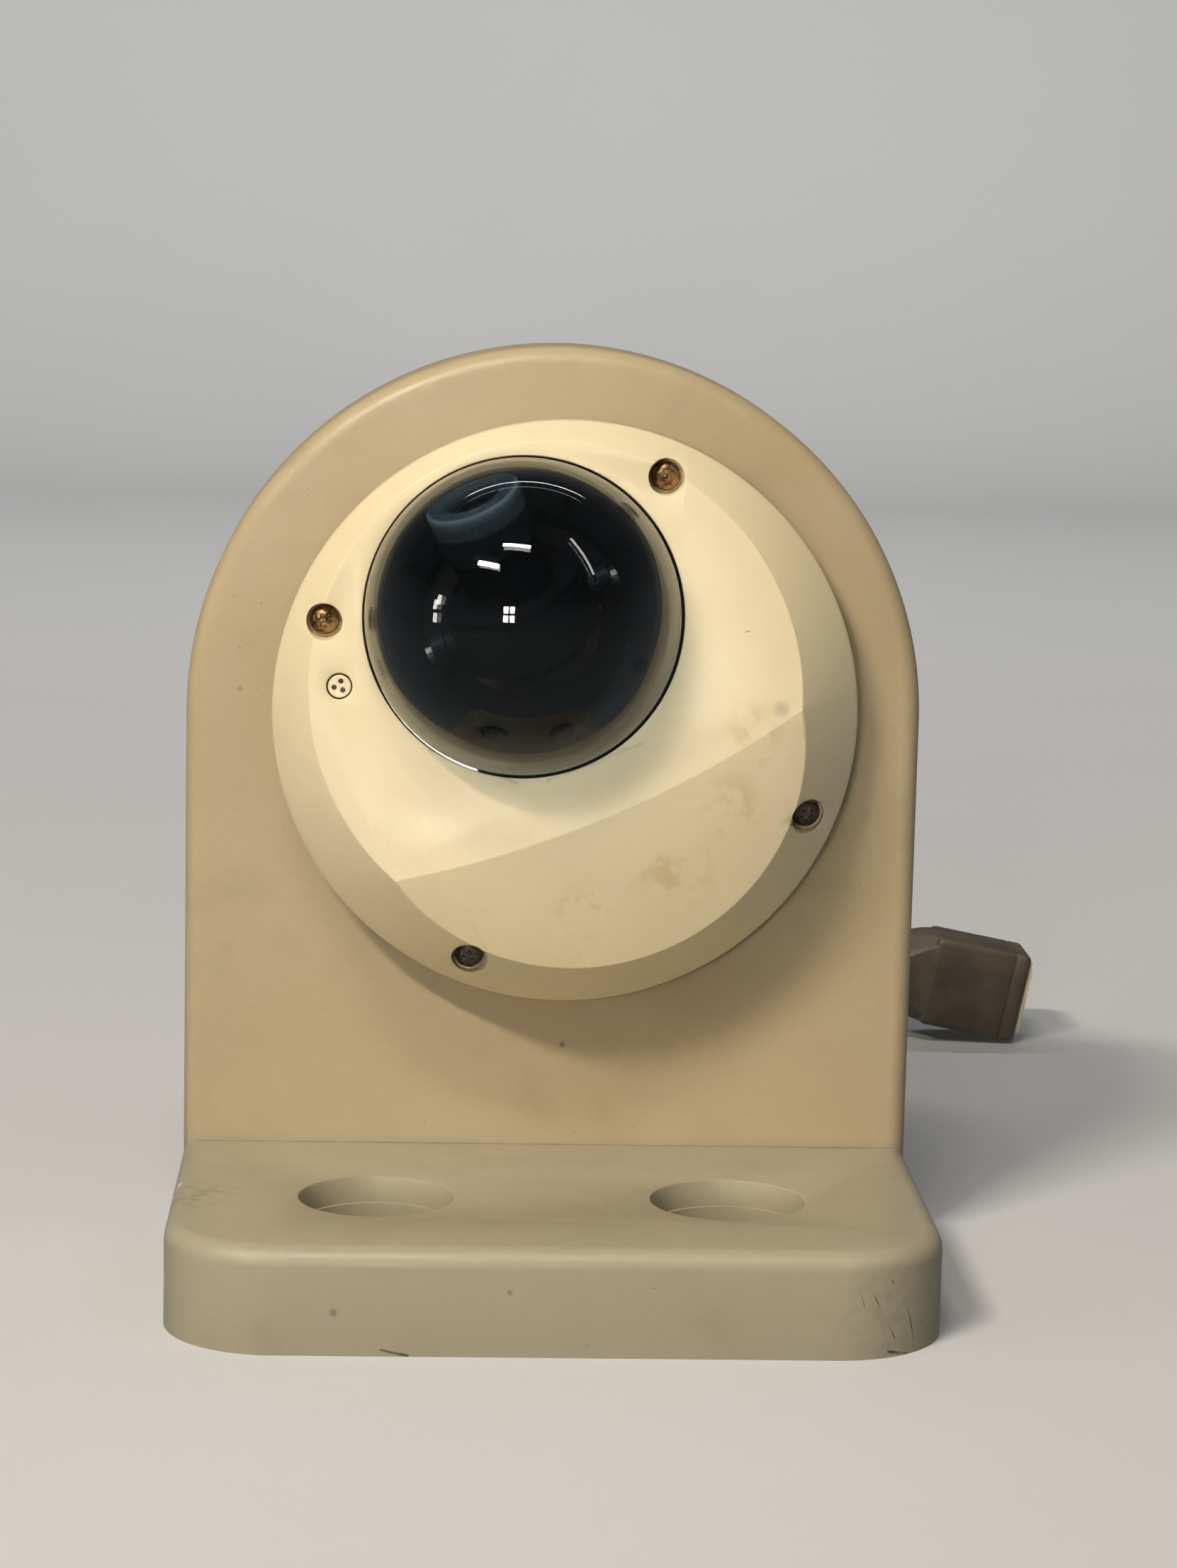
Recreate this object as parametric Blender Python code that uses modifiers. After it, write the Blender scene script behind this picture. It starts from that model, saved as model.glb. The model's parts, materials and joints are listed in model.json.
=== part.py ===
"""Compact dome camera on an L-shaped bench bracket.

Metres, +Z up.  The origin is the centre of the bracket's footprint on the surface it stands on.
The camera head is modelled in its own frame, whose z axis is the head's axis: it points out of
the bracket's upright plate, towards -Y.  The lens assembly has a frame of its own inside the head.
Lengths below are millimetres and every one is turned into metres by mm().
"""
import bpy
import bmesh
import math
from mathutils import Vector

MM = 0.001

# ---- driving dimensions, in millimetres -------------------------------------------------------
BRACKET_W = 150.0          # width of the upright plate and of the foot
FOOT_H = 20.7              # height of the foot
FOOT_REACH = 80.0          # from the plate's front face to the foot's front face
PLATE_T = 22.0             # thickness of the upright plate
ARCH_Z = FOOT_H + 89.5     # height of the centre of the plate's round top
FOOT_CORNER = 21.6         # plan radius of the foot's front corners
EDGE_R = 3.8               # rounding of the bracket's visible edges
WALL = 3.5                 # wall of the hollow bracket
BORE_X = 34.6              # the foot's two counterbores
BORE_FROM_PLATE = 41.4
BORE_R = 15.1
BORE_DEPTH = 14.0
BORE_STEP = 0.6            # the bore narrows by this below its lip
LIP_DEPTH = 5.5

HEAD_TURN = 24.0           # the head is turned about its axis by this many degrees
HEAD_X = 1.9
HEAD_Z = FOOT_H + 91.4
RIM_R = 59.1               # widest circle of the cover
RIM_W = 8.5                # its height over the plate
CHAMFER = 0.75             # how fast the cover's flank closes in, per unit of height
FACE_TOP_V = 56.0          # where the sloping face meets the flank, at the top of the head
FACE_TOP_H = 4.2           # its height over the rim there
FACE_SLOPE = 0.18          # the face rises towards the bottom of the head
LOWER_SLOPE = 0.19         # and the lower facet falls away again
RIDGE_MID_V = -19.7        # the ridge between the two, at the middle
RIDGE_END_V = -15.1        # and at its ends
RIDGE_HALF = 44.0
COVER_T = 2.6

DOME_V = 22.7              # the dome's centre lies on the sloping face, this far up the head
DOME_R = 31.5
DOME_T = 2.3
REST_TILT = 62.0           # the lens leans this far from the dome's axis at rest

SCREW_RING = 52.1          # cover screws: distance from the head's axis
SCREW_BORE_R = 1.8         # clearance round a screw's shank
HEAD_SEAT_W = 10.5
GAP = 0.3                  # clearance between pieces that touch

CABLE_R = 2.75
CABLE_X = 0.0
CABLE_Z = 40.0             # where the cable leaves the back of the plate

PLATE_BACK = (FOOT_REACH + PLATE_T) / 2
PLATE_FRONT = PLATE_BACK - PLATE_T
FOOT_FRONT = -PLATE_BACK
BORE_Y = PLATE_FRONT - BORE_FROM_PLATE


def face_height(v):
    """Height of the sloping face over the plate, along the head's middle line."""
    return RIM_W + FACE_TOP_H + FACE_SLOPE * (FACE_TOP_V - v)


def mm(*values):
    """Millimetres to metres, for one number or for a vector."""
    if len(values) == 1:
        return values[0] * MM
    return Vector(values) * MM


# ---- a clean scene with two collections -------------------------------------------------------
for old in list(bpy.data.objects):
    bpy.data.objects.remove(old, do_unlink=True)

PARTS = bpy.data.collections.new("dome_camera")
CUTTERS = bpy.data.collections.new("cutters")
bpy.context.scene.collection.children.link(PARTS)
bpy.context.scene.collection.children.link(CUTTERS)


# ---- materials --------------------------------------------------------------------------------
def make_material(name, colour, roughness, metallic=0.0):
    material = bpy.data.materials.new(name)
    material.use_nodes = True
    shader = material.node_tree.nodes["Principled BSDF"]
    shader.inputs["Base Color"].default_value = (*colour, 1.0)
    shader.inputs["Roughness"].default_value = roughness
    shader.inputs["Metallic"].default_value = metallic
    return material


BEIGE = make_material("bracket_beige", (0.50, 0.40, 0.26), 0.42)
CREAM = make_material("cover_cream", (0.80, 0.70, 0.47), 0.45)
SMOKE = make_material("smoked_dome", (0.02, 0.025, 0.03), 0.05)
BLACK = make_material("black_plastic", (0.02, 0.02, 0.022), 0.5)
GLASS = make_material("lens_glass", (0.10, 0.12, 0.20), 0.03)
RUBBER = make_material("rubber", (0.03, 0.03, 0.03), 0.85)
STEEL = make_material("steel", (0.55, 0.54, 0.52), 0.35, 1.0)
BRONZE = make_material("aged_screw", (0.32, 0.20, 0.10), 0.4, 1.0)
BRASS = make_material("contact_gold", (0.80, 0.60, 0.25), 0.3, 1.0)
BOARD = make_material("circuit_board", (0.03, 0.18, 0.07), 0.5)
ALU = make_material("aluminium", (0.60, 0.60, 0.60), 0.4, 1.0)
TAUPE = make_material("connector_taupe", (0.22, 0.18, 0.12), 0.6)
WHITE = make_material("jack_white", (0.75, 0.68, 0.52), 0.5)


# ---- frames -----------------------------------------------------------------------------------
def make_frame(name, location, rotation=(0, 0, 0), parent=None):
    frame = bpy.data.objects.new(name, None)
    frame.location = location
    frame.rotation_euler = rotation
    frame.parent = parent
    PARTS.objects.link(frame)
    return frame


HEAD = make_frame("head_frame", mm(HEAD_X, PLATE_FRONT, HEAD_Z),
                  (math.radians(90), -math.radians(HEAD_TURN), 0))
PAN = make_frame("pan_frame", mm(0, DOME_V, face_height(DOME_V)),
                 (-math.atan(FACE_SLOPE), 0, 0), HEAD)
LENS = make_frame("lens_frame", mm(0, 0, 0), (-math.radians(REST_TILT), 0, 0), PAN)


# ---- solids -----------------------------------------------------------------------------------
def place(mesh, name, material=None, parent=None, at=(0, 0, 0), turn=(0, 0, 0)):
    """Link a mesh as a part, or as a cutter where no material is given."""
    piece = bpy.data.objects.new(name, mesh)
    piece.location = mm(*at)
    piece.rotation_euler = [math.radians(angle) for angle in turn]
    piece.parent = parent
    if material is None:
        piece.hide_render = True
        piece.display_type = "WIRE"
        CUTTERS.objects.link(piece)
    else:
        mesh.materials.append(material)
        PARTS.objects.link(piece)
    return piece


def smooth(mesh, angle=35.0):
    mesh.shade_smooth()
    mesh.set_sharp_from_angle(angle=math.radians(angle))
    return mesh


def drum_mesh(radius, low, high, sides=32, top_radius=None):
    """A cylinder or a cone about z, from low to high."""
    shape = bmesh.new()
    top = radius if top_radius is None else top_radius
    bmesh.ops.create_cone(shape, cap_ends=True, segments=sides, radius1=mm(radius),
                          radius2=mm(top), depth=mm(high - low))
    bmesh.ops.translate(shape, verts=shape.verts, vec=mm(0, 0, (low + high) / 2))
    mesh = bpy.data.meshes.new("drum")
    shape.to_mesh(mesh)
    shape.free()
    return smooth(mesh)


def block_mesh(size, middle=(0, 0, 0)):
    shape = bmesh.new()
    bmesh.ops.create_cube(shape, size=1.0)
    bmesh.ops.scale(shape, verts=shape.verts, vec=mm(*size))
    bmesh.ops.translate(shape, verts=shape.verts, vec=mm(*middle))
    mesh = bpy.data.meshes.new("block")
    shape.to_mesh(mesh)
    shape.free()
    return mesh


def outline_mesh(points, low, high):
    """A flat outline, a filled 2D curve, extruded from low to high along z."""
    curve = bpy.data.curves.new("outline", "CURVE")
    curve.dimensions = "2D"
    curve.fill_mode = "BOTH"
    curve.extrude = mm(high - low) / 2
    spline = curve.splines.new("POLY")
    spline.points.add(len(points) - 1)
    for point, (x, y) in zip(spline.points, points):
        point.co = (mm(x), mm(y), 0, 1)
    spline.use_cyclic_u = True
    holder = bpy.data.objects.new("outline_curve", curve)
    CUTTERS.objects.link(holder)
    bpy.context.view_layer.update()
    solid = holder.evaluated_get(bpy.context.evaluated_depsgraph_get())
    mesh = bpy.data.meshes.new_from_object(solid)
    bpy.data.objects.remove(holder, do_unlink=True)
    shape = bmesh.new()
    shape.from_mesh(mesh)
    bmesh.ops.remove_doubles(shape, verts=shape.verts, dist=0.00001)
    bmesh.ops.translate(shape, verts=shape.verts, vec=mm(0, 0, (low + high) / 2))
    bmesh.ops.recalc_face_normals(shape, faces=shape.faces)
    shape.to_mesh(mesh)
    shape.free()
    return smooth(mesh)


def turned(name, profile, material=None, parent=None, sides=24, at=(0, 0, 0), turn=(0, 0, 0)):
    """A solid of revolution: the profile (radius, height) runs down its outer side."""
    mesh = bpy.data.meshes.new(name)
    points = [mm(radius, 0, height) for radius, height in profile]
    closed = min(radius for radius, height in profile) > 0
    edges = [(i, i + 1) for i in range(len(points) - 1)]
    if closed:
        edges.append((len(points) - 1, 0))
    mesh.from_pydata(points, edges, [])
    piece = place(mesh, name, material, parent, at, turn)
    screw = piece.modifiers.new("turn", "SCREW")
    screw.steps = sides
    screw.render_steps = sides
    screw.use_merge_vertices = True
    screw.merge_threshold = 0.00001
    screw.use_smooth_shade = True
    return piece


def ring(name, inner, outer, low, high, material=None, parent=None, sides=24, **where):
    profile = [(outer, high), (outer, low), (inner, low), (inner, high)]
    return turned(name, profile, material, parent, sides, **where)


def drum(name, radius, low, high, material=None, parent=None, sides=14, top_radius=None, **where):
    return place(drum_mesh(radius, low, high, sides, top_radius), name, material, parent, **where)


def block(name, size, middle, material=None, parent=None, **where):
    return place(block_mesh(size, middle), name, material, parent, **where)


def combine(piece, others, operation):
    for other in others:
        step = piece.modifiers.new(operation.lower(), "BOOLEAN")
        step.operation = operation
        step.solver = "EXACT"
        step.object = other
    return piece


def cut(piece, *cutters):
    return combine(piece, cutters, "DIFFERENCE")


def join(piece, *others):
    return combine(piece, others, "UNION")


def round_edges(piece, width, segments=2, angle=40.0):
    bevel = piece.modifiers.new("rounding", "BEVEL")
    bevel.width = mm(width)
    bevel.segments = segments
    bevel.limit_method = "ANGLE"
    bevel.angle_limit = math.radians(angle)
    return piece


def around(count, radius, first=0.0):
    """Evenly spaced places on a circle, as (x, y, angle in degrees)."""
    for index in range(count):
        angle = first + 360.0 * index / count
        yield (radius * math.cos(math.radians(angle)), radius * math.sin(math.radians(angle)), angle)


def arc(cx, cy, radius, start, end, steps):
    """Points on an arc, angles in degrees."""
    for index in range(steps + 1):
        angle = math.radians(start + (end - start) * index / steps)
        yield (cx + radius * math.cos(angle), cy + radius * math.sin(angle))


# ---- bracket ----------------------------------------------------------------------------------
UPRIGHT = (90, 0, 0)       # turns an outline's x, y into X, Z


def arch_outline(inset, bottom, steps=24):
    """The plate's outline: straight sides and a round top."""
    half = BRACKET_W / 2 - inset
    points = [(-half, bottom), (half, bottom)]
    points += list(arc(0, ARCH_Z, half, 0, 180, steps))
    return points


def foot_outline(inset, back, steps=6):
    """The foot seen from above: square at the back, round corners in front."""
    half = BRACKET_W / 2 - inset
    front = FOOT_FRONT + inset
    radius = FOOT_CORNER - inset
    points = [(half, back), (-half, back)]
    points += list(arc(-half + radius, front + radius, radius, 180, 270, steps))
    points += list(arc(half - radius, front + radius, radius, 270, 360, steps))
    return points


BURIED = 12.0              # how far the raw shapes run below the floor before they are cut off
FLOOR_PLATE_T = 3.0        # steel plate that closes the foot from below
FLOOR_SCREWS = [(0, -32), (0, 8)]
PANEL_T = 2.5              # rear cover
PANEL_INSET = 3.0
CAVITY_FLOOR = 8.0
BOSS_R = 18.6
FIXING_R = 3.5
RIB_T = 3.0                # rib down the middle of the foot
FLOOR_POST_R = 4.2         # posts for the floor plate's screws, and their bores
FLOOR_POST_BORE_R = 1.6
GLAND_V = -18.0            # cable passage through the plate and the camera's base
GLAND_HOLE_R = 7.0
PLATE_CABLE_R = 9.0
BASE_SCREW_RING = 46.0     # screws that hold the camera's base to the plate


def make_bracket():
    body = place(outline_mesh(arch_outline(0, -BURIED), -PLATE_BACK, -PLATE_FRONT),
                 "bracket_body", BEIGE, turn=UPRIGHT)
    round_edges(body, EDGE_R, 2)
    foot = place(outline_mesh(foot_outline(0, PLATE_FRONT + 12), -BURIED, FOOT_H), "foot_shape")
    round_edges(foot, EDGE_R, 2)
    below = block("below_floor", (200, 160, 40), (0, 0, -20))

    # the hollow behind the plate, with a step for the rear cover to sit in
    hollow = place(outline_mesh(arch_outline(WALL + 4, CAVITY_FLOOR), -PLATE_BACK - 5,
                                -PLATE_FRONT - WALL), "plate_hollow", turn=UPRIGHT)
    recess = place(outline_mesh(arch_outline(PANEL_INSET, CAVITY_FLOOR - 4), -PLATE_BACK - 5,
                                -PLATE_BACK + PANEL_T + GAP), "panel_recess", turn=UPRIGHT)
    # the hollow of the foot, with a boss round each counterbore and a rib with two screw posts
    under = place(outline_mesh(foot_outline(WALL + 0.5, PLATE_FRONT - WALL), -5, FOOT_H - 4),
                  "foot_hollow")
    keep_low = FLOOR_PLATE_T + GAP
    cut(under, block("rib_keep", (RIB_T, 120, 40), (0, 0, keep_low + 20)))
    for side in (-1, 1):
        cut(under, drum("boss_keep", BOSS_R, keep_low, FOOT_H + 5, sides=24,
                        at=(side * BORE_X, BORE_Y, 0)))
    for x, y in FLOOR_SCREWS:
        cut(under, drum("floor_post_keep", FLOOR_POST_R, keep_low, FOOT_H + 5, at=(x, y, 0)))

    join(body, foot)
    cut(body, below, hollow, recess, under)
    for x, y in FLOOR_SCREWS:
        cut(body, drum("floor_post_bore", FLOOR_POST_BORE_R, -5, 13, at=(x, y, 0)))

    for side in (-1, 1):
        at = (side * BORE_X, BORE_Y, 0)
        cut(body,
            drum("counterbore", BORE_R - BORE_STEP, FOOT_H - BORE_DEPTH, FOOT_H + 5, at=at,
                 sides=28),
            drum("counterbore_lip", BORE_R, FOOT_H - LIP_DEPTH, FOOT_H + 5, at=at, sides=28),
            drum("fixing_hole", FIXING_R, -5, FOOT_H, at=at, sides=16))

    # cable passage and base screw holes through the plate's front wall
    cut(body, drum("plate_cable_hole", PLATE_CABLE_R, -8, 5, parent=HEAD, at=(0, GLAND_V, 0)))
    for x, y, angle in base_screw_places():
        cut(body, drum("plate_screw_hole", SCREW_BORE_R, -8, 5, parent=HEAD, sides=14,
                       at=(x, y, 0)))
    return body


def base_screw_places():
    return around(3, BASE_SCREW_RING, 270)


PANEL_SCREW_Z = 18.0       # lower pair of rear cover screws, and the upper pair's place
PANEL_SCREW_TOP = (50.0, ARCH_Z + 36)
PANEL_POST_R = 4.0


def make_rear_cover():
    panel = place(outline_mesh(arch_outline(PANEL_INSET + GAP, CAVITY_FLOOR - 4 + GAP),
                               -PLATE_BACK, -PLATE_BACK + PANEL_T),
                  "bracket_rear_cover", BEIGE, turn=UPRIGHT)
    low_x = BRACKET_W / 2 - 13
    top_x, top_z = PANEL_SCREW_TOP
    places = [(-low_x, PANEL_SCREW_Z), (low_x, PANEL_SCREW_Z), (-top_x, top_z), (top_x, top_z)]
    cut(panel, drum("grommet_hole", 6.2, -5, 5, turn=(90, 0, 0),
                    at=(CABLE_X, PLATE_BACK, CABLE_Z)))
    for x, z in places:
        cut(panel, drum("panel_screw_hole", 1.9, -10, 10, turn=(90, 0, 0), sides=16,
                        at=(x, PLATE_BACK, z)))
    for number, (x, z) in enumerate(places, 1):
        # each screw runs forward into a post that stands on the plate's front wall
        post_base = -PLATE_BACK + PANEL_T + GAP + 0.4
        post = drum("panel_post", PANEL_POST_R, post_base, -PLATE_FRONT - WALL + 1,
                    turn=(90, 0, 0), sides=20, at=(x, 0, z))
        join(BRACKET, post)
        cut(BRACKET, drum("post_bore", 1.6, post_base - 2, post_base + 12, turn=(90, 0, 0),
                          sides=16, at=(x, 0, z)))
        screw = turned(f"rear_cover_screw_{number}", [
            (0, 1.9), (1.8, 1.8), (2.9, 1.0), (3.2, 0), (1.3, 0), (1.3, -11.5), (0, -12)],
            STEEL, sides=14, turn=(-90, 0, 0), at=(x, PLATE_BACK + GAP - 2.0, z))
        dish = drum("panel_screw_dish", 3.6, -PLATE_BACK - 1, -PLATE_BACK + 1.9, turn=(90, 0, 0),
                    sides=24, at=(x, 0, z))
        cut(panel, dish)
        cut(screw, block("slot", (0.9, 8, 2), (0, 0, 2.0), turn=(-90, 0, 0),
                         at=(x, PLATE_BACK + GAP - 2.0, z)))
    return panel


def make_floor_plate():
    plate = place(outline_mesh(foot_outline(WALL + 0.5 + GAP, PLATE_FRONT - WALL - GAP),
                               0, FLOOR_PLATE_T), "foot_base_plate", STEEL)
    for side in (-1, 1):
        cut(plate, drum("plate_fixing_hole", FIXING_R, -5, 10, sides=16,
                        at=(side * BORE_X, BORE_Y, 0)))
    for number, (x, y) in enumerate(FLOOR_SCREWS, 1):
        cut(plate, drum("floor_screw_hole", 1.7, -5, 10, at=(x, y, 0)),
            drum("floor_screw_seat", 3.5, -5, 1.8, at=(x, y, 0)))
        turned(f"foot_plate_screw_{number}", [(0, 12), (1.3, 12), (1.3, 1.5), (3.0, 1.5), (3.0, 0.2),
                                              (0, 0.2)], STEEL, sides=12, at=(x, y, 0))


BRACKET = make_bracket()
make_rear_cover()
make_floor_plate()


# ---- cable: grommet, free lead and connector --------------------------------------------------
CONNECTOR_TILT = 11.0      # the connector rests on its nose, its tail held up by the stiff cable
CONNECTOR_W = 19.0
CONNECTOR_H = 23.0
CONNECTOR_L = 25.0
TAPER_L = 9.0
RELIEF_L = 14.0
JACK_W = 15.5
JACK_H = 18.5
CONTACT_PITCH = 1.27
NOSE = (128.7, 227.0, 11.7)                 # middle of the connector's front face
GROMMET_OUT = 8.0
LEAD_R = 2.0

CABLE_ROUTE = [
    (0, 59.3, 40), (0, 69, 40), (0.5, 79, 38), (2, 90, 32), (4, 101, 23), (7, 113, 13),
    (11, 126, 5.6), (16, 140, 3.0), (22, 155, 2.8), (29, 170, 2.8), (36, 184, 3.4), (43, 197, 6.5),
    (50, 209, 12.5), (58, 219, 19), (69, 225.5, 22.2), (81.3, 227, 20.9)]
LEAD_ROUTE = [(9.2, 32.8, 95.7), (9.1, 36.5, 95.2), (8.4, 39.8, 91), (7, 41, 82), (4, 41, 66),
              (1, 40.5, 52), (0.2, 41, 44), (0, 43.2, 40.4), (0, 45.5, 40)]


def smooth_route(route, spacing):
    """Points about one spacing apart on a Catmull-Rom curve through the route."""
    ends = [Vector(route[0]) * 2 - Vector(route[1]), Vector(route[-1]) * 2 - Vector(route[-2])]
    knots = [ends[0]] + [Vector(point) for point in route] + [ends[1]]
    points = []
    for before, start, end, after in zip(knots, knots[1:], knots[2:], knots[3:]):
        steps = max(1, round((end - start).length / spacing))
        for index in range(steps):
            t = index / steps
            points.append(0.5 * (2 * start + (end - before) * t
                                 + (2 * before - 5 * start + 4 * end - after) * t ** 2
                                 + (3 * start - before - 3 * end + after) * t ** 3))
    points.append(knots[-2])
    return points


def cord(name, route, radius, spacing, material):
    curve = bpy.data.curves.new(name, "CURVE")
    curve.dimensions = "3D"
    curve.bevel_depth = mm(radius)
    curve.bevel_resolution = 2
    curve.use_fill_caps = True
    points = smooth_route(route, spacing)
    spline = curve.splines.new("POLY")
    spline.points.add(len(points) - 1)
    for knot, point in zip(spline.points, points):
        knot.co = (*mm(*point), 1)
    curve.materials.append(material)
    piece = bpy.data.objects.new(name, curve)
    PARTS.objects.link(piece)
    return piece


turned("cable_grommet", [
    (0, GROMMET_OUT), (4.0, GROMMET_OUT), (7.8, 2.0), (7.8, GAP), (5.8, GAP), (5.8, -3.0),
    (7.2, -3.0), (7.2, -4.6), (0, -4.6)],
    RUBBER, sides=20, turn=(-90, 0, 0), at=(CABLE_X, PLATE_BACK, CABLE_Z))
cord("network_cable", CABLE_ROUTE, CABLE_R, 7.0, RUBBER)
cord("inner_lead", LEAD_ROUTE, LEAD_R, 5.0, RUBBER)

CONNECTOR = make_frame("connector_frame", mm(*NOSE),
                       (math.radians(90 + CONNECTOR_TILT), 0, math.radians(90)))


def make_connector():
    body = block("connector_body", (CONNECTOR_W, CONNECTOR_H, CONNECTOR_L),
                 (0, 0, -CONNECTOR_L / 2), TAUPE, CONNECTOR)
    round_edges(body, 1.6, 2)
    taper = drum("connector_taper", 9.5, -CONNECTOR_L - TAPER_L, -CONNECTOR_L + 2, parent=CONNECTOR,
                 top_radius=13.4, sides=24)
    keep = block("connector_taper_bounds", (CONNECTOR_W - 0.6, CONNECTOR_H - 0.6, 40), (0, 0, -30),
                 parent=CONNECTOR)
    combine(taper, [keep], "INTERSECT")
    back = -CONNECTOR_L - TAPER_L
    relief = drum("connector_relief", 4.2, back - RELIEF_L, back + 1, parent=CONNECTOR,
                  top_radius=6.5, sides=24)
    join(body, taper, relief)
    cut(body, block("jack_pocket", (JACK_W + 2 * GAP, JACK_H + 2 * GAP, 30), (0, 0, 0),
                    parent=CONNECTOR))
    insert = block("jack_insert", (JACK_W, JACK_H, 15.8), (0, 0, -6.8), WHITE, CONNECTOR)
    cut(insert,
        block("plug_opening", (6.8, 11.8, 24), (0.8, 0, 0), parent=CONNECTOR),
        block("latch_opening", (3.0, 6.0, 24), (-4.0, 0, 0), parent=CONNECTOR))
    contacts = block("jack_contacts", (1.2, 10.4, 1.2), (3.2, 0, -10.4), BRASS, CONNECTOR)
    for index in range(8):
        pin = block("contact_pin", (0.5, 0.5, 8), (3.2, (index - 3.5) * CONTACT_PITCH, -7.0),
                    parent=CONNECTOR)
        join(contacts, pin)


make_connector()


# ---- camera base ------------------------------------------------------------------------------
BASE_R = 55.0
BASE_WALL = 3.6
BASE_FLOOR = 3.3
BASE_TOP = 7.0
SKIRT_LOW = 5.0            # the cover's skirt reaches down over the base to here
BOARD_SCREWS = [(-34, -14), (24, -36), (-6, -42)]
BOARD_W = 5.6              # underside of the main board


def screw(name, head_r, head_h, shank_r, shank_l, material, parent=None, flutes=0, sides=10,
          **where):
    """A button-head screw whose head sits on z = 0; flutes gives a star socket with a pin."""
    piece = turned(name, [(0, head_h), (head_r * 0.7, head_h), (head_r, head_h * 0.55), (head_r, 0),
                          (shank_r, 0), (shank_r, -shank_l), (0, -shank_l)],
                   material, parent, sides, **where)
    deep = head_h * 0.6
    if flutes:
        socket = drum("socket", head_r * 0.42, head_h - deep, head_h + 1, parent=parent, sides=8,
                      **where)
        pin = drum("socket_pin", head_r * 0.14, head_h - deep - 1, head_h + 2, parent=parent,
                   sides=6, **where)
        cut(socket, pin)
        cut(piece, socket)
    else:
        for angle in (0, 90):
            slot = block("slot", (head_r * 1.2, head_r * 0.3, deep), (0, 0, head_h - deep * 0.3),
                         parent=parent, at=where["at"], turn=(0, 0, angle))
            cut(piece, slot)
    return piece


def make_base():
    base = turned("camera_base", [
        (0, BASE_FLOOR), (BASE_R - BASE_WALL, BASE_FLOOR), (BASE_R - BASE_WALL, BASE_TOP),
        (BASE_R, BASE_TOP), (BASE_R, GAP), (0, GAP)][::-1], CREAM, HEAD, 40)
    cut(base, drum("gland_hole", GLAND_HOLE_R, -2, 8, parent=HEAD, at=(0, GLAND_V, 0), sides=24))
    for x, y, angle in around(4, SCREW_RING, 45):
        join(base, drum("cover_post", 2.8, BASE_FLOOR - 1, BASE_TOP - 0.01, parent=HEAD, sides=20,
                        at=(x, y, 0)))
        cut(base, drum("cover_post_bore", SCREW_BORE_R, BASE_FLOOR, 12, parent=HEAD, sides=16,
                       at=(x, y, 0)))
    for x, y in BOARD_SCREWS:
        join(base, drum("board_post", 2.4, BASE_FLOOR - 1, BOARD_W - GAP, parent=HEAD, sides=16,
                        at=(x, y, 0)))
        cut(base, drum("board_post_bore", 1.1, BASE_FLOOR - 1, 12, parent=HEAD, sides=12,
                       at=(x, y, 0)))
    for number, (x, y, angle) in enumerate(base_screw_places(), 1):
        cut(base, drum("base_screw_hole", SCREW_BORE_R, -2, 8, parent=HEAD, sides=14,
                       at=(x, y, 0)))
        screw(f"base_mounting_screw_{number}", 3.2, 2.2, 1.5, 7.4, STEEL, HEAD,
              at=(x, y, BASE_FLOOR + GAP))
    return base


BASE = make_base()
ring("cover_seal", BASE_R + GAP, RIM_R - COVER_T - GAP, SKIRT_LOW, BASE_TOP, RUBBER, HEAD, 32)
turned("base_cable_gland", [(0, 6.0), (5.0, 6.0), (9.0, 4.8), (9.0, BASE_FLOOR + GAP),
                            (GLAND_HOLE_R - GAP, BASE_FLOOR + GAP), (GLAND_HOLE_R - GAP, -1.5),
                            (4.5, -3.4), (0, -3.4)],
       RUBBER, HEAD, 20, at=(0, GLAND_V, 0))


# ---- top cover --------------------------------------------------------------------------------
def ridge_v(u):
    return RIDGE_MID_V + (RIDGE_END_V - RIDGE_MID_V) * (u / RIDGE_HALF) ** 2


def cover_solid(name, drop, low, material=None, sides=48):
    """The cover's outer form, or with a drop the hollow inside it: a cone under two facets."""
    radius = RIM_R - drop
    high = 27.0
    form = turned(name, [(0, high), (radius - (high - RIM_W) * CHAMFER, high), (radius, RIM_W),
                         (radius, low), (0, low)], material, HEAD, sides)
    # everything above the upper face goes
    cut(form, block(name + "_face_cut", (160, 200, 40), (0, 0, 20), parent=HEAD,
                    at=(0, 0, face_height(0) - drop),
                    turn=(-math.degrees(math.atan(FACE_SLOPE)), 0, 0)))
    # the lower facet is ruled along its slope from the curved ridge between the two
    fall = math.atan(LOWER_SLOPE)
    steps = 14
    reach = 70.0
    outline = [(-reach, 60), (reach, 60)]
    for index in range(steps + 1):
        u = reach - 2 * reach * index / steps
        v = ridge_v(u)
        outline.append((u, (face_height(v) - drop - LOWER_SLOPE * v) * math.cos(fall)))
    cut(form, place(outline_mesh(outline, -150, 150), name + "_facet_cut", None, HEAD,
                    turn=(90 + math.degrees(fall), 0, 0)))
    return form


MIC = (-39.0, 1.5, 0)      # microphone port, measured from the dome's centre on the sloping face
CLAMP_SCREW_RING = 35.4    # screws of the ring that holds the dome, about the dome's centre
DOME_GAP = 0.5             # round the dome in the cover's opening
WELL_R = 3.6               # wells of the four cover screws
MIC_R = 2.6


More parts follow.
